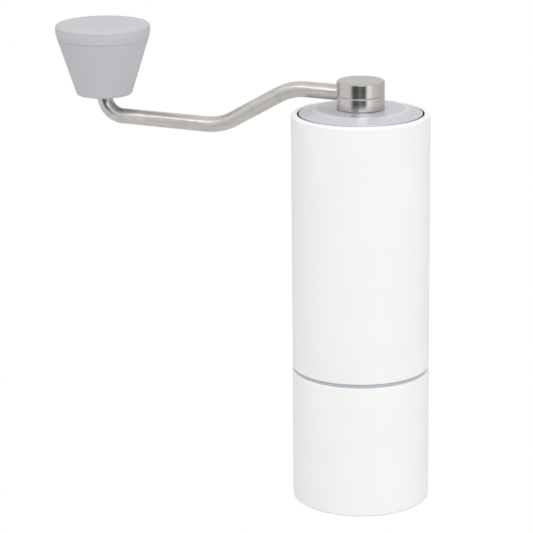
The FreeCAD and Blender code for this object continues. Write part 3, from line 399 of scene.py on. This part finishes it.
def lathe_metal(name, dark, light, rough, marks=7000.0, height=3e-6, lean=0.0):
    """Turned metal: lathe lines in colour, gloss and relief. A lean draws its highlights out
    along the axis, as fine lines round a turned surface do.
    """
    material, tree, shader, spot = start_material(name)
    lines = group_node(tree, TURNING, {"Vector": spot, "Scale": marks})
    tree.links.new(tint(tree, lines.outputs[0], dark, light), shader.inputs["Base Color"])
    gloss = put(tree, "ShaderNodeMapRange", {
        "Value": lines.outputs[0], "From Min": 0.3, "From Max": 0.7,
        "To Min": rough[0], "To Max": rough[1]})
    tree.links.new(gloss.outputs[0], shader.inputs["Roughness"])
    bump = put(tree, "ShaderNodeBump", {"Height": lines.outputs[0], "Distance": height})
    tree.links.new(bump.outputs[0], shader.inputs["Normal"])
    shader.inputs["Metallic"].default_value = 1.0
    if lean:
        shader.inputs["Anisotropic"].default_value = lean
        shader.inputs["Anisotropic Rotation"].default_value = 0.25
        around = put(tree, "ShaderNodeTangent", direction_type="RADIAL", axis="Z")
        tree.links.new(around.outputs[0], shader.inputs["Tangent"])
    return material


def drawn_metal(name, dark, light, rough):
    """Rod brushed along its length: noise on the rod's own grain attribute, stretched along it."""
    material, tree, shader, spot = start_material(name)
    grain = put(tree, "ShaderNodeAttribute", attribute_name="grain", attribute_type="GEOMETRY")
    fine = put(tree, "ShaderNodeTexNoise", {
        "Vector": grain.outputs["Vector"], "Scale": 5200.0, "Detail": 3.0, "Roughness": 0.6})
    wide = group_node(tree, CLOUDS, {"Vector": spot, "Scale": 160.0})
    both = put(tree, "ShaderNodeMix", {"Factor": 0.2, "A": fine.outputs[0], "B": wide.outputs[0]},
               data_type="FLOAT")
    streaks = put(tree, "ShaderNodeMapRange", {
        "Value": both.outputs[0], "From Min": 0.3, "From Max": 0.7})
    tree.links.new(tint(tree, streaks.outputs[0], dark, light), shader.inputs["Base Color"])
    gloss = put(tree, "ShaderNodeMapRange", {
        "Value": fine.outputs[0], "From Min": 0.3, "From Max": 0.7,
        "To Min": rough[0], "To Max": rough[1]})
    tree.links.new(gloss.outputs[0], shader.inputs["Roughness"])
    bump = put(tree, "ShaderNodeBump", {"Height": fine.outputs[0], "Distance": 5e-6})
    tree.links.new(bump.outputs[0], shader.inputs["Normal"])
    shader.inputs["Metallic"].default_value = 1.0
    return material


def polished(name, dark, light, rough):
    """Plain metal with faint stains in colour and gloss."""
    material, tree, shader, spot = start_material(name)
    stains = group_node(tree, CLOUDS, {"Vector": spot, "Scale": 400.0})
    tree.links.new(tint(tree, stains.outputs[0], dark, light), shader.inputs["Base Color"])
    gloss = group_node(tree, CLOUDS, {
        "Vector": spot, "Scale": 800.0, "Low": rough[0], "High": rough[1]})
    tree.links.new(gloss.outputs[0], shader.inputs["Roughness"])
    shader.inputs["Metallic"].default_value = 1.0
    return material


FINISHES = {
    "white_coat": moulded("White coat", (0.878, 0.890, 0.872), (0.900, 0.912, 0.894), (0.40, 0.48),
                          patch=45.0, grain=1800.0, height=4e-6),
    "liner_plastic": moulded("Liner plastic", (0.30, 0.31, 0.325), (0.33, 0.34, 0.355), (0.38, 0.46)),
    "ring_plastic": moulded("Ring plastic", (0.50, 0.54, 0.60), (0.53, 0.57, 0.63), (0.40, 0.48)),
    "carrier_plastic": moulded("Carrier plastic", (0.030, 0.031, 0.033), (0.042, 0.043, 0.045),
                               (0.45, 0.60), grain=1800.0, height=2e-5),
    "cage_plastic": moulded("Cage nylon", (0.62, 0.57, 0.44), (0.68, 0.63, 0.50), (0.42, 0.52)),
    "bush_plastic": moulded("Bush plastic", (0.05, 0.05, 0.052), (0.065, 0.065, 0.067), (0.35, 0.45)),
    "seal_rubber": moulded("Seal rubber", (0.012, 0.012, 0.012), (0.020, 0.020, 0.020),
                           (0.60, 0.75), grain=3200.0, height=8e-6),
    "knob_plastic": moulded("Knob plastic", (0.505, 0.515, 0.535), (0.525, 0.535, 0.555), (0.42, 0.50),
                            patch=90.0, grain=3200.0, height=5e-6),
    # The lid's finish carries a painted highlight, a lighter band along the fold between its flat and its
    # slope.
    "lid_metal": paint_fold_highlight(
        moulded("Lid satin", (0.640, 0.645, 0.690), (0.655, 0.660, 0.705), (0.34, 0.40),
                patch=80.0, grain=3000.0, height=2e-7, metallic=0.6),
        0.0174, 0.0014, (0.79, 0.795, 0.82)),
    "dial_metal": lathe_metal("Dial anodised", (0.10, 0.10, 0.105), (0.16, 0.16, 0.165), (0.30, 0.42)),
    "burr_steel": lathe_metal("Burr steel", (0.42, 0.41, 0.40), (0.60, 0.59, 0.58), (0.22, 0.36)),
    "shaft_steel": lathe_metal("Shaft steel", (0.50, 0.50, 0.50), (0.66, 0.66, 0.65), (0.20, 0.34)),
    "brushed_hub": lathe_metal("Hub steel", (0.495, 0.475, 0.458), (0.600, 0.577, 0.557), (0.13, 0.20),
                               marks=5200.0, height=7e-7, lean=0.65),
    "brushed_rod": drawn_metal("Rod steel", (0.50, 0.48, 0.455), (0.76, 0.735, 0.70), (0.26, 0.38)),
    "spring_steel": polished("Spring steel", (0.30, 0.30, 0.30), (0.42, 0.42, 0.42), (0.24, 0.38)),
    "screw_steel": polished("Screw steel", (0.40, 0.40, 0.40), (0.52, 0.52, 0.52), (0.26, 0.40)),
    "bearing_steel": polished("Bearing steel", (0.62, 0.62, 0.62), (0.72, 0.72, 0.72), (0.10, 0.18)),
}


# ---------------------------------------------------------------- tube and jar
def tube_thread(angles, radii, heights):
    """Inward ridges of the tube's thread, only on the threaded bore."""
    on_bore = np.abs(radii - THREAD_BORE) < 0.01 * MM
    return -THREAD_DEPTH * thread_wave(angles, heights, tube_low.z + THREAD_RISE) * on_bore


def neck_thread(angles, radii, heights):
    """Outward ridges of the neck's thread, half a pitch from the tube's."""
    on_neck = np.abs(radii - NECK_RADIUS) < 0.01 * MM
    foot = tube_low.z + THREAD_RISE - THREAD_PITCH / 2
    return THREAD_DEPTH * thread_wave(angles, heights, foot) * on_neck


STEP_HEIGHT = tube_low.z + 10.5 * MM
THREAD_TOP = tube_low.z + 9.0 * MM
FINE = 0.12 * MM

# The tube's coat is near black inside the bore. This is painted shade for the deep gap round the lid.
TUBE_FINISH = paint_shade_inside(
    moulded("Tube coat", (0.86, 0.868, 0.855), (0.885, 0.893, 0.88), (0.40, 0.48),
            patch=45.0, grain=1800.0, height=4e-6),
    BORE_RADIUS, (0.035, 0.035, 0.037))
turned("bean_tube", [
    (THREAD_BORE, tube_low.z + 0.4 * MM, 0, FINE),
    (THREAD_BORE, THREAD_TOP, 0),
    (THREAD_BORE, STEP_HEIGHT, 0),
    (BORE_RADIUS, STEP_HEIGHT, 0),
    (BORE_RADIUS, tube_high.z, 0.3 * MM),
    (TUBE_RADIUS, tube_high.z, 1.0 * MM),
    (TUBE_RADIUS, tube_low.z, 0.3 * MM),
    (THREAD_BORE + 0.4 * MM, tube_low.z, 0),
], "housing", "body_tube", TUBE_FINISH, relief=tube_thread)

JAR_WALL = 1.6 * MM
JAR_FLOOR = jar_low.z + 2.0 * MM
turned("jar_cup", [
    (0.0, jar_low.z, 0),
    (jar_high.x, jar_low.z, 0.8 * MM),
    (jar_high.x, jar_high.z, 0.3 * MM),
    (jar_high.x - JAR_WALL, jar_high.z, 0.1 * MM),
    (jar_high.x - JAR_WALL, JAR_FLOOR, 0.3 * MM),
    (0.0, JAR_FLOOR, 0),
], "jar", "jar_shell", FINISHES["white_coat"], closed=False)

LINER_RADIUS = jar_high.x - JAR_WALL - 0.02 * MM
LINER_WALL = 1.5 * MM
turned("jar_inner_cup", [
    (0.0, liner_low.z, 0),
    (LINER_RADIUS, liner_low.z, 0.3 * MM),
    (LINER_RADIUS, jar_high.z, 0.1 * MM),
    (NECK_RADIUS, jar_high.z, 0),
    (NECK_RADIUS, tube_low.z + 0.2 * MM, 0, FINE),
    (NECK_RADIUS, liner_high.z - 0.3 * MM, 0),
    (NECK_RADIUS - 0.3 * MM, liner_high.z, 0.15 * MM),
    (NECK_BORE, liner_high.z, 0.4 * MM),
    (NECK_BORE, jar_high.z - LINER_WALL, 0.5 * MM),
    (LINER_RADIUS - LINER_WALL, jar_high.z - 4.5 * MM, 1.0 * MM),
    (LINER_RADIUS - LINER_WALL, liner_low.z + LINER_WALL, 3.0 * MM),
    (0.0, liner_low.z + LINER_WALL, 0),
], "jar", "jar_liner", FINISHES["liner_plastic"], closed=False, relief=neck_thread)

RING_BORE = NECK_RADIUS + 0.15 * MM
turned("joint_ring", [
    (RING_BORE, ring_low.z, 0.1 * MM),
    (ring_high.x, ring_low.z, 0.15 * MM),
    (ring_high.x, ring_high.z, 0.15 * MM),
    (RING_BORE, ring_high.z, 0.1 * MM),
], "ring", "jar_ring", FINISHES["ring_plastic"])


# ---------------------------------------------------------------- lid and crank
BRIDGE_BORE = bridge_high.x - 1.38 * MM
PLUG_RADIUS = BRIDGE_BORE - 0.4 * MM
PLUG_BORE = PLUG_RADIUS - 1.7 * MM
SEAT_HEIGHT = bridge_high.z + 0.05 * MM
LID_RADIUS = BORE_RADIUS - 0.6 * MM
LID_EDGE = tube_high.z + 0.15 * MM
LID_FLAT_RADIUS = 17.5 * MM
LID_HOLE = 8.02 * MM
turned("lid_plate", [
    (PLUG_BORE, lid_low.z, 0.3 * MM),
    (PLUG_RADIUS, lid_low.z, 0.3 * MM),
    (PLUG_RADIUS, lid_low.z + 1.2 * MM, 0.05 * MM),
    (PLUG_RADIUS - 0.9 * MM, lid_low.z + 1.2 * MM, 0),
    (PLUG_RADIUS - 0.9 * MM, lid_low.z + 3.0 * MM, 0),
    (PLUG_RADIUS, lid_low.z + 3.0 * MM, 0.05 * MM),
    (PLUG_RADIUS, SEAT_HEIGHT, 0),
    (LID_RADIUS, SEAT_HEIGHT, 0.2 * MM),
    (LID_RADIUS, LID_EDGE, 0.3 * MM),
    (LID_FLAT_RADIUS, lid_high.z, 1.6 * MM),
    (LID_HOLE, lid_high.z, 0.1 * MM),
    (LID_HOLE, lid_high.z - 4.0 * MM, 0.1 * MM),
    (LID_HOLE + 2.0 * MM, lid_high.z - 4.0 * MM, 0.3 * MM),
    (LID_HOLE + 2.0 * MM, lid_high.z - 2.0 * MM, 0.3 * MM),
    (PLUG_BORE, lid_high.z - 2.0 * MM, 0.5 * MM),
], "lid", "lid", FINISHES["lid_metal"], sharp=30.0)

HUB_FOOT = lid_high.z + 0.1 * MM
GROOVE = HUB_FOOT + 5.1 * MM
HUB_RADIUS = 9.0 * MM
GROOVE_RADIUS = 8.62 * MM
HUB_NECK_RADIUS = 6.0 * MM
SOCKET_RADIUS = 4.13 * MM
SOCKET_TOP = hub_low.z + 11.4 * MM
turned("hub_turned", [
    (0.0, SOCKET_TOP, 0),
    (SOCKET_RADIUS, SOCKET_TOP, 0),
    (SOCKET_RADIUS, hub_low.z, 0.2 * MM),
    (HUB_NECK_RADIUS, hub_low.z, 0.3 * MM),
    (HUB_NECK_RADIUS, HUB_FOOT, 0.1 * MM),
    (HUB_RADIUS, HUB_FOOT, 0.3 * MM),
    (HUB_RADIUS, GROOVE - 0.48 * MM, 0.08 * MM),
    (GROOVE_RADIUS, GROOVE - 0.02 * MM, 0.05 * MM),
    (GROOVE_RADIUS, GROOVE + 0.20 * MM, 0.04 * MM),
    (HUB_RADIUS, GROOVE + 0.25 * MM, 0.04 * MM),
    (HUB_RADIUS, hub_high.z - 0.5 * MM, 0.15 * MM),
    (HUB_RADIUS - 0.5 * MM, hub_high.z, 0.15 * MM),
    (0.0, hub_high.z, 0),
], "crank", "crank_hub", FINISHES["brushed_hub"], closed=False)


def rod_line(corners, start, end, spacing):
    """Points and directions along straight runs joined by arcs.

    Each corner is a place along X, a height and an arc radius. The runs are divided evenly,
    at about the given spacing, and the arcs a little closer.
    """
    spots = [np.array(start, float)] + [np.array(c[:2], float) for c in corners] + [np.array(end, float)]
    line = [spots[0][None]]
    for index, corner in enumerate(corners, start=1):
        back = spots[index - 1] - spots[index]
        ahead = spots[index + 1] - spots[index]
        back, ahead = back / np.linalg.norm(back), ahead / np.linalg.norm(ahead)
        half = math.acos(np.clip(back @ ahead, -1, 1)) / 2
        bend = corner[2]
        reach = bend / math.tan(half)
        middle = (back + ahead) / np.linalg.norm(back + ahead)
        centre = spots[index] + middle * bend / math.sin(half)
        sweep = math.pi - 2 * half
        turn = np.linspace(-0.5, 0.5, int(bend * sweep / spacing) + 6) * sweep
        side = np.array([-middle[1], middle[0]])
        side = side if side @ back < 0 else -side
        first = spots[index] + back * reach
        length = np.linalg.norm(first - line[-1][-1])
        share = (np.arange(1, int(length / spacing)) / int(length / spacing))[:, None]
        line.append(line[-1][-1] + share * (first - line[-1][-1]))
        line.append(centre - bend * (np.cos(turn)[:, None] * middle - np.sin(turn)[:, None] * side))
    length = np.linalg.norm(spots[-1] - line[-1][-1])
    share = (np.arange(1, int(length / spacing) + 1) / int(length / spacing))[:, None]
    line.append(line[-1][-1] + share * (spots[-1] - line[-1][-1]))
    points = np.concatenate(line)
    directions = np.gradient(points, axis=0)
    return points, directions / np.linalg.norm(directions, axis=1)[:, None]


ROD_RADIUS = 3.0 * MM
ROD_START = 1.0 * MM
ROD_AXIS = HUB_FOOT + 5.2 * MM
ROD_OUTER_AXIS = ROD_AXIS - 17.1 * MM
SLOPE_START = 28.6 * MM
SLOPE_END = 58.9 * MM
SLOPE_BEND = 24.0 * MM
END_BEND = 8.0 * MM
GRAIN_SHARE = 0.012


def bent_rod(name, body, node, material, segments=64):
    """Carry a circle along the crank's path, which lies in the plane of the crank.

    The point at angle t is the path's point plus radius times the cosine of t along the
    path's normal and the sine of t sideways. The grain attribute holds that circle and a
    small share of the distance along the path, so noise read from it is drawn out lengthwise.
    """
    path, heading = rod_line([
        (-SLOPE_START, ROD_AXIS, SLOPE_BEND),
        (-SLOPE_END, ROD_OUTER_AXIS, SLOPE_BEND),
        (-CRANK_REACH, ROD_OUTER_AXIS, END_BEND),
    ], (-ROD_START, ROD_AXIS), (-CRANK_REACH, rod_high.z), 0.8 * MM)
    normal = np.stack([-heading[:, 1], heading[:, 0]], axis=1)
    angle = np.arange(segments) * math.tau / segments
    up, side = ROD_RADIUS * np.cos(angle), ROD_RADIUS * np.sin(angle)
    x = path[:, 0, None] + normal[:, 0, None] * up
    z = path[:, 1, None] + normal[:, 1, None] * up
    y = np.broadcast_to(side, x.shape)
    points = np.stack([x, y, z], axis=-1).reshape(-1, 3)
    rows = len(path)
    travel = np.concatenate([[0], np.cumsum(np.linalg.norm(np.diff(path, axis=0), axis=1))])
    grain = np.stack([np.broadcast_to(up, x.shape), y,
                      np.broadcast_to(travel[:, None] * GRAIN_SHARE, x.shape)], axis=-1).reshape(-1, 3)
    row, column = np.meshgrid(np.arange(rows - 1), np.arange(segments), indexing="ij")
    beside = (column + 1) % segments
    quads = np.stack([row * segments + column, row * segments + beside,
                      (row + 1) * segments + beside, (row + 1) * segments + column],
                     axis=-1).reshape(-1, 4)
    faces = quads.tolist()
    ends = np.array([[path[0, 0], 0, path[0, 1]], [path[-1, 0], 0, path[-1, 1]]])
    spot = np.arange(segments)
    after = (spot + 1) % segments
    for end, (first, offset) in enumerate(((len(points), 0), (len(points) + 1, (rows - 1) * segments))):
        pair = (after, spot) if end == 0 else (spot, after)
        faces += np.stack([pair[0] + offset, pair[1] + offset, np.full(segments, first)],
                          axis=-1).tolist()
    points = np.concatenate([points, ends])
    grain = np.concatenate([grain, ends * 0])
    return mesh_piece(name, points, faces, body, node, material, {"grain": grain}, sharp=40.0)


bent_rod("rod_bent", "crank", "crank_rod", FINISHES["brushed_rod"])


# ---------------------------------------------------------------- knob
KNOB_FOOT = knob_low.z
KNOB_SPLIT = KNOB_FOOT + 22.1 * MM
KNOB_BASE_RADIUS = 10.75 * MM
SPLIT_RADIUS = 17.9 * MM
CAP_RADIUS = 18.5 * MM
SPIGOT_RADIUS = SPLIT_RADIUS - 3.2 * MM
KNOB_BORE = 5.0 * MM
KNOB_FLOOR = KNOB_FOOT + 2.7 * MM
KNOB_BOSS_RADIUS = 7.2 * MM
KNOB_BOSS_TOP = KNOB_FOOT + 17.2 * MM
CAP_WALL = 1.8 * MM
CAP_UNDERSIDE = cap_high.z - 2.4 * MM
SPLIT_GAP = 0.06 * MM
CAP_SPIGOT_RADIUS = SPIGOT_RADIUS - 0.02 * MM
turned("knob_cone", [
    (KNOB_BORE, KNOB_FOOT, 0.2 * MM),
    (KNOB_BASE_RADIUS, KNOB_FOOT, 1.0 * MM),
    (SPLIT_RADIUS - SPLIT_GAP, KNOB_SPLIT, 0.14 * MM),
    (SPIGOT_RADIUS, KNOB_SPLIT, 0.05 * MM),
    (SPIGOT_RADIUS, KNOB_SPLIT - 3.0 * MM, 0.05 * MM),
    (KNOB_BASE_RADIUS - 1.3 * MM, KNOB_FLOOR, 0.4 * MM),
    (KNOB_BOSS_RADIUS, KNOB_FLOOR, 0.3 * MM),
    (KNOB_BOSS_RADIUS, KNOB_BOSS_TOP, 0.2 * MM),
    (KNOB_BORE, KNOB_BOSS_TOP, 0.1 * MM),
], "knob", "knob_body", FINISHES["knob_plastic"], axis_x=KNOB_AXIS)

turned("knob_top", [
    (0.0, cap_high.z, 0),
    (CAP_RADIUS, cap_high.z, 1.7 * MM),
    (CAP_RADIUS, KNOB_FOOT + 24.7 * MM, 1.2 * MM),
    (SPLIT_RADIUS + 0.02 * MM, KNOB_SPLIT + SPLIT_GAP, 0.14 * MM),
    (CAP_SPIGOT_RADIUS, KNOB_SPLIT + SPLIT_GAP, 0),
    (CAP_SPIGOT_RADIUS, cap_low.z, 0.2 * MM),
    (SPIGOT_RADIUS - CAP_WALL, cap_low.z, 0.2 * MM),
    (SPIGOT_RADIUS - CAP_WALL, CAP_UNDERSIDE, 0.6 * MM),
    (0.0, CAP_UNDERSIDE, 0),
], "knob", "knob_cap", FINISHES["knob_plastic"], closed=False, axis_x=KNOB_AXIS)


# ---------------------------------------------------------------- burrs
CONE_TEETH = 24
CONE_FLUTES = 8
RING_TEETH = 30
CONE_SLANT = 45.0
RING_SLANT = 35.0


def tooth_wave(value):
    """A wave that rises over four fifths of its length and drops over the last fifth."""
    part = value % 1.0
    return np.minimum(part / 0.8, (1 - part) / 0.2)


def cone_teeth(angles, radii, heights):
    """Slanted teeth cut into the cone: fine near its foot, deep flutes near its nose."""
    up = (heights - cone_low.z) / (cone_high.z - cone_low.z)
    outside = radii > cone_high.x * 0.49
    turns = (angles + CONE_SLANT * (heights - cone_low.z)) / math.tau
    fine, deep = tooth_wave(turns * CONE_TEETH), tooth_wave(turns * CONE_FLUTES)
    foot = np.clip(up / 0.08, 0, 1)
    share = np.clip((up - 0.45) / 0.35, 0, 1)
    cut = 0.9 * MM * (1 - fine) * foot * (1 - share) + 2.4 * MM * (1 - deep) * share
    return -cut * outside


def ring_teeth(angles, radii, heights):
    """Slanted teeth cut into the ring's inside, deeper towards the top."""
    up = (heights - teeth_low.z) / (teeth_high.z - teeth_low.z)
    inside = radii < teeth_high.x - 1.5 * MM
    wave = tooth_wave((angles - RING_SLANT * (heights - teeth_low.z)) / math.tau * RING_TEETH)
    cut = (0.7 + 0.9 * np.clip(up, 0, 1)) * MM * (1 - wave) * np.clip(up / 0.08, 0, 1)
    cut = cut * np.clip((1.0 - up) / 0.05, 0, 1)
    return cut * inside


CONE_THROAT = cone_low.z + 11.0 * MM
CONE_SEAT = cone_low.z + 9.0 * MM
turned("burr_cone", [
    (4.3 * MM, cone_low.z, 0.1 * MM),
    (cone_high.x, cone_low.z, 0.1 * MM),
    (cone_high.x, cone_low.z + 1.0 * MM, 0, 0.4 * MM),
    (cone_high.x - 3.2 * MM, CONE_THROAT, 0, 0.4 * MM),
    (8.0 * MM, cone_high.z, 0.1 * MM),
    (6.5 * MM, cone_high.z, 0.1 * MM),
    (6.5 * MM, CONE_SEAT, 0),
    (4.3 * MM, CONE_SEAT, 0),
], "cone", "cone_burr", FINISHES["burr_steel"], relief=cone_teeth, segments=480, sharp=24.0)

RING_INNER = teeth_high.x - 2.58 * MM
turned("burr_ring", [
    (RING_INNER, teeth_low.z, 0.1 * MM),
    (teeth_high.x, teeth_low.z, 0.2 * MM),
    (teeth_high.x, teeth_high.z, 0.2 * MM),
    (RING_INNER, teeth_high.z, 0.0, 0.4 * MM),
    (RING_INNER - 3.2 * MM, teeth_low.z + 11.0 * MM, 0, 0.4 * MM),
    (RING_INNER, teeth_low.z + 1.0 * MM, 0),
], "housing", "ring_burr", FINISHES["burr_steel"], relief=ring_teeth, segments=480, sharp=24.0)


# ---------------------------------------------------------------- finishes on the frame's own nodes
for node_name, node_object in frame["nodes"].items():
    for material_slot in node_object.material_slots:
        material_slot.material = FINISHES[SLOT_OF[node_name]]


# ---------------------------------------------------------------- floor, light and camera
def make_floor():
    """A plain pale floor under the jar, plain white to the eye and not seen in reflections."""
    mesh = bpy.data.meshes.new("floor")
    reach = 6.0
    mesh.from_pydata([(-reach, -reach, 0), (reach, -reach, 0), (reach, reach, 0), (-reach, reach, 0)],
                     [], [(0, 1, 2, 3)])
    floor = bpy.data.objects.new("floor", mesh)
    floor.location.z = -0.0002
    material, tree, shader, _ = start_material("Floor white")
    shader.inputs["Base Color"].default_value = (0.72, 0.72, 0.72, 1.0)
    shader.inputs["Roughness"].default_value = 0.9
    path = tree.nodes.new("ShaderNodeLightPath")
    glow = put(tree, "ShaderNodeEmission", {"Color": (1.0, 1.0, 1.0, 1.0), "Strength": 1.0})
    seen = put(tree, "ShaderNodeMixShader", {
        0: path.outputs["Is Camera Ray"], 1: shader.outputs[0], 2: glow.outputs[0]})
    tree.links.new(seen.outputs[0], tree.nodes["Material Output"].inputs["Surface"])
    mesh.materials.append(material)
    bpy.context.scene.collection.objects.link(floor)
    floor.visible_glossy = False


def make_world():
    """White to the eye. To reflections it is a bright room whose tone changes round the
    horizon: dark behind the camera, a bright strip to its right, even light elsewhere.
    Above and below the band the tone is even.
    """
    world = bpy.data.worlds.new("Studio")
    world.use_nodes = True
    tree = world.node_tree
    tree.nodes.clear()
    coordinates = tree.nodes.new("ShaderNodeTexCoord")
    aim = put(tree, "ShaderNodeVectorMath", {0: coordinates.outputs["Generated"]}, operation="NORMALIZE")
    heading = math.radians(HEADING)
    sides = []
    for way in ((math.sin(heading), -math.cos(heading), 0.0), (math.cos(heading), math.sin(heading), 0.0)):
        dot = put(tree, "ShaderNodeVectorMath", {0: aim.outputs[0], 1: way}, operation="DOT_PRODUCT")
        sides.append(dot.outputs["Value"])
    angle = put(tree, "ShaderNodeMath", {0: sides[1], 1: sides[0]}, operation="ARCTAN2")
    round_room = put(tree, "ShaderNodeMapRange", {
        "Value": angle.outputs[0], "From Min": -math.pi, "From Max": math.pi})
    tones = put(tree, "ShaderNodeValToRGB", {"Fac": round_room.outputs[0]})
    stops = tones.color_ramp.elements
    for index, (degrees, tone) in enumerate(HORIZON):
        place = (degrees + 180.0) / 360.0
        stop = stops.new(place) if index > 1 else stops[index]
        stop.position = place
        stop.color = (tone / 2, tone / 2, tone / 2, 1.0)
    band = put(tree, "ShaderNodeMath", {0: tones.outputs["Color"], 1: 2.0}, operation="MULTIPLY")
    split = put(tree, "ShaderNodeSeparateXYZ", {0: aim.outputs[0]})
    above = put(tree, "ShaderNodeMapRange", {
        "Value": split.outputs[2], "From Min": 0.35, "From Max": 0.60}, interpolation_type="SMOOTHSTEP")
    below = put(tree, "ShaderNodeMapRange", {
        "Value": split.outputs[2], "From Min": -0.20, "From Max": -0.45}, interpolation_type="SMOOTHSTEP")
    lower = put(tree, "ShaderNodeMix", {
        "Factor": below.outputs[0], "A": band.outputs[0], "B": BELOW}, data_type="FLOAT")
    tone = put(tree, "ShaderNodeMix", {
        "Factor": above.outputs[0], "A": lower.outputs[0], "B": ABOVE}, data_type="FLOAT")
    path = tree.nodes.new("ShaderNodeLightPath")
    room = put(tree, "ShaderNodeBackground", {"Color": (1.0, 1.0, 1.0, 1.0), "Strength": tone.outputs[0]})
    clear = put(tree, "ShaderNodeBackground", {"Color": (1.0, 1.0, 1.0, 1.0), "Strength": 1.0})
    chosen = put(tree, "ShaderNodeMixShader", {
        0: path.outputs["Is Camera Ray"], 1: room.outputs[0], 2: clear.outputs[0]})
    put(tree, "ShaderNodeOutputWorld", {"Surface": chosen.outputs[0]})
    bpy.context.scene.world = world


def soft_light(name, place, target, width, height, power):
    """A soft panel that shines at a target."""
    light = bpy.data.lights.new(name, "AREA")
    light.shape = "RECTANGLE"
    light.size, light.size_y = width, height
    light.energy = power
    lamp = bpy.data.objects.new(name, light)
    lamp.location = place
    lamp.rotation_euler = (Vector(target) - Vector(place)).to_track_quat("-Z", "Y").to_euler()
    bpy.context.scene.collection.objects.link(lamp)


# The room's tone at angles in degrees from the way back to the camera, positive to its right.
# The first two are the ends of the scale.
HORIZON = ((-180, 0.78), (180, 0.78), (-150, 0.72), (-112, 0.92), (-60, 0.95), (-50, 0.75), (-38, 0.05),
           (-18, 0.04), (-10, 0.16), (2, 0.14), (9, 0.04), (17, 0.05), (25, 0.60), (32, 1.45), (46, 1.30),
           (60, 0.94), (95, 0.80), (130, 0.68))
ABOVE = 0.88
BELOW = 0.80
HEADING = 27.083
PITCH = 15.641
ROLL = -0.620
CAMERA_PLACE = (0.3704, -0.8026, 0.3388)
LENS = 163.7


def make_camera():
    """A long lens just under a metre away, looking down from above the knob's height."""
    heading, pitch, roll = (math.radians(value) for value in (HEADING, PITCH, ROLL))
    ahead = Vector((-math.sin(heading) * math.cos(pitch), math.cos(heading) * math.cos(pitch),
                    -math.sin(pitch)))
    right = Vector((math.cos(heading), math.sin(heading), 0.0))
    up = right.cross(ahead)
    right, up = (math.cos(roll) * right + math.sin(roll) * up,
                 math.cos(roll) * up - math.sin(roll) * right)
    data = bpy.data.cameras.new("camera")
    data.lens = LENS
    data.sensor_width = 36.0
    data.clip_end = 50.0
    camera = bpy.data.objects.new("camera", data)
    turn = Matrix((right, up, -ahead)).transposed()
    camera.matrix_world = Matrix.Translation(CAMERA_PLACE) @ turn.to_4x4()
    bpy.context.scene.collection.objects.link(camera)
    bpy.context.scene.camera = camera


make_floor()
make_world()
make_camera()
soft_light("front_panel", (0.9, -1.3, 1.3), (0, 0, 0.09), 1.2, 1.2, 15.0)
soft_light("high_left_panel", (-0.41, -0.86, 0.99), (-0.05, 0, 0.15), 0.85, 0.18, 1.3)
bpy.context.scene.view_settings.view_transform = "Standard"
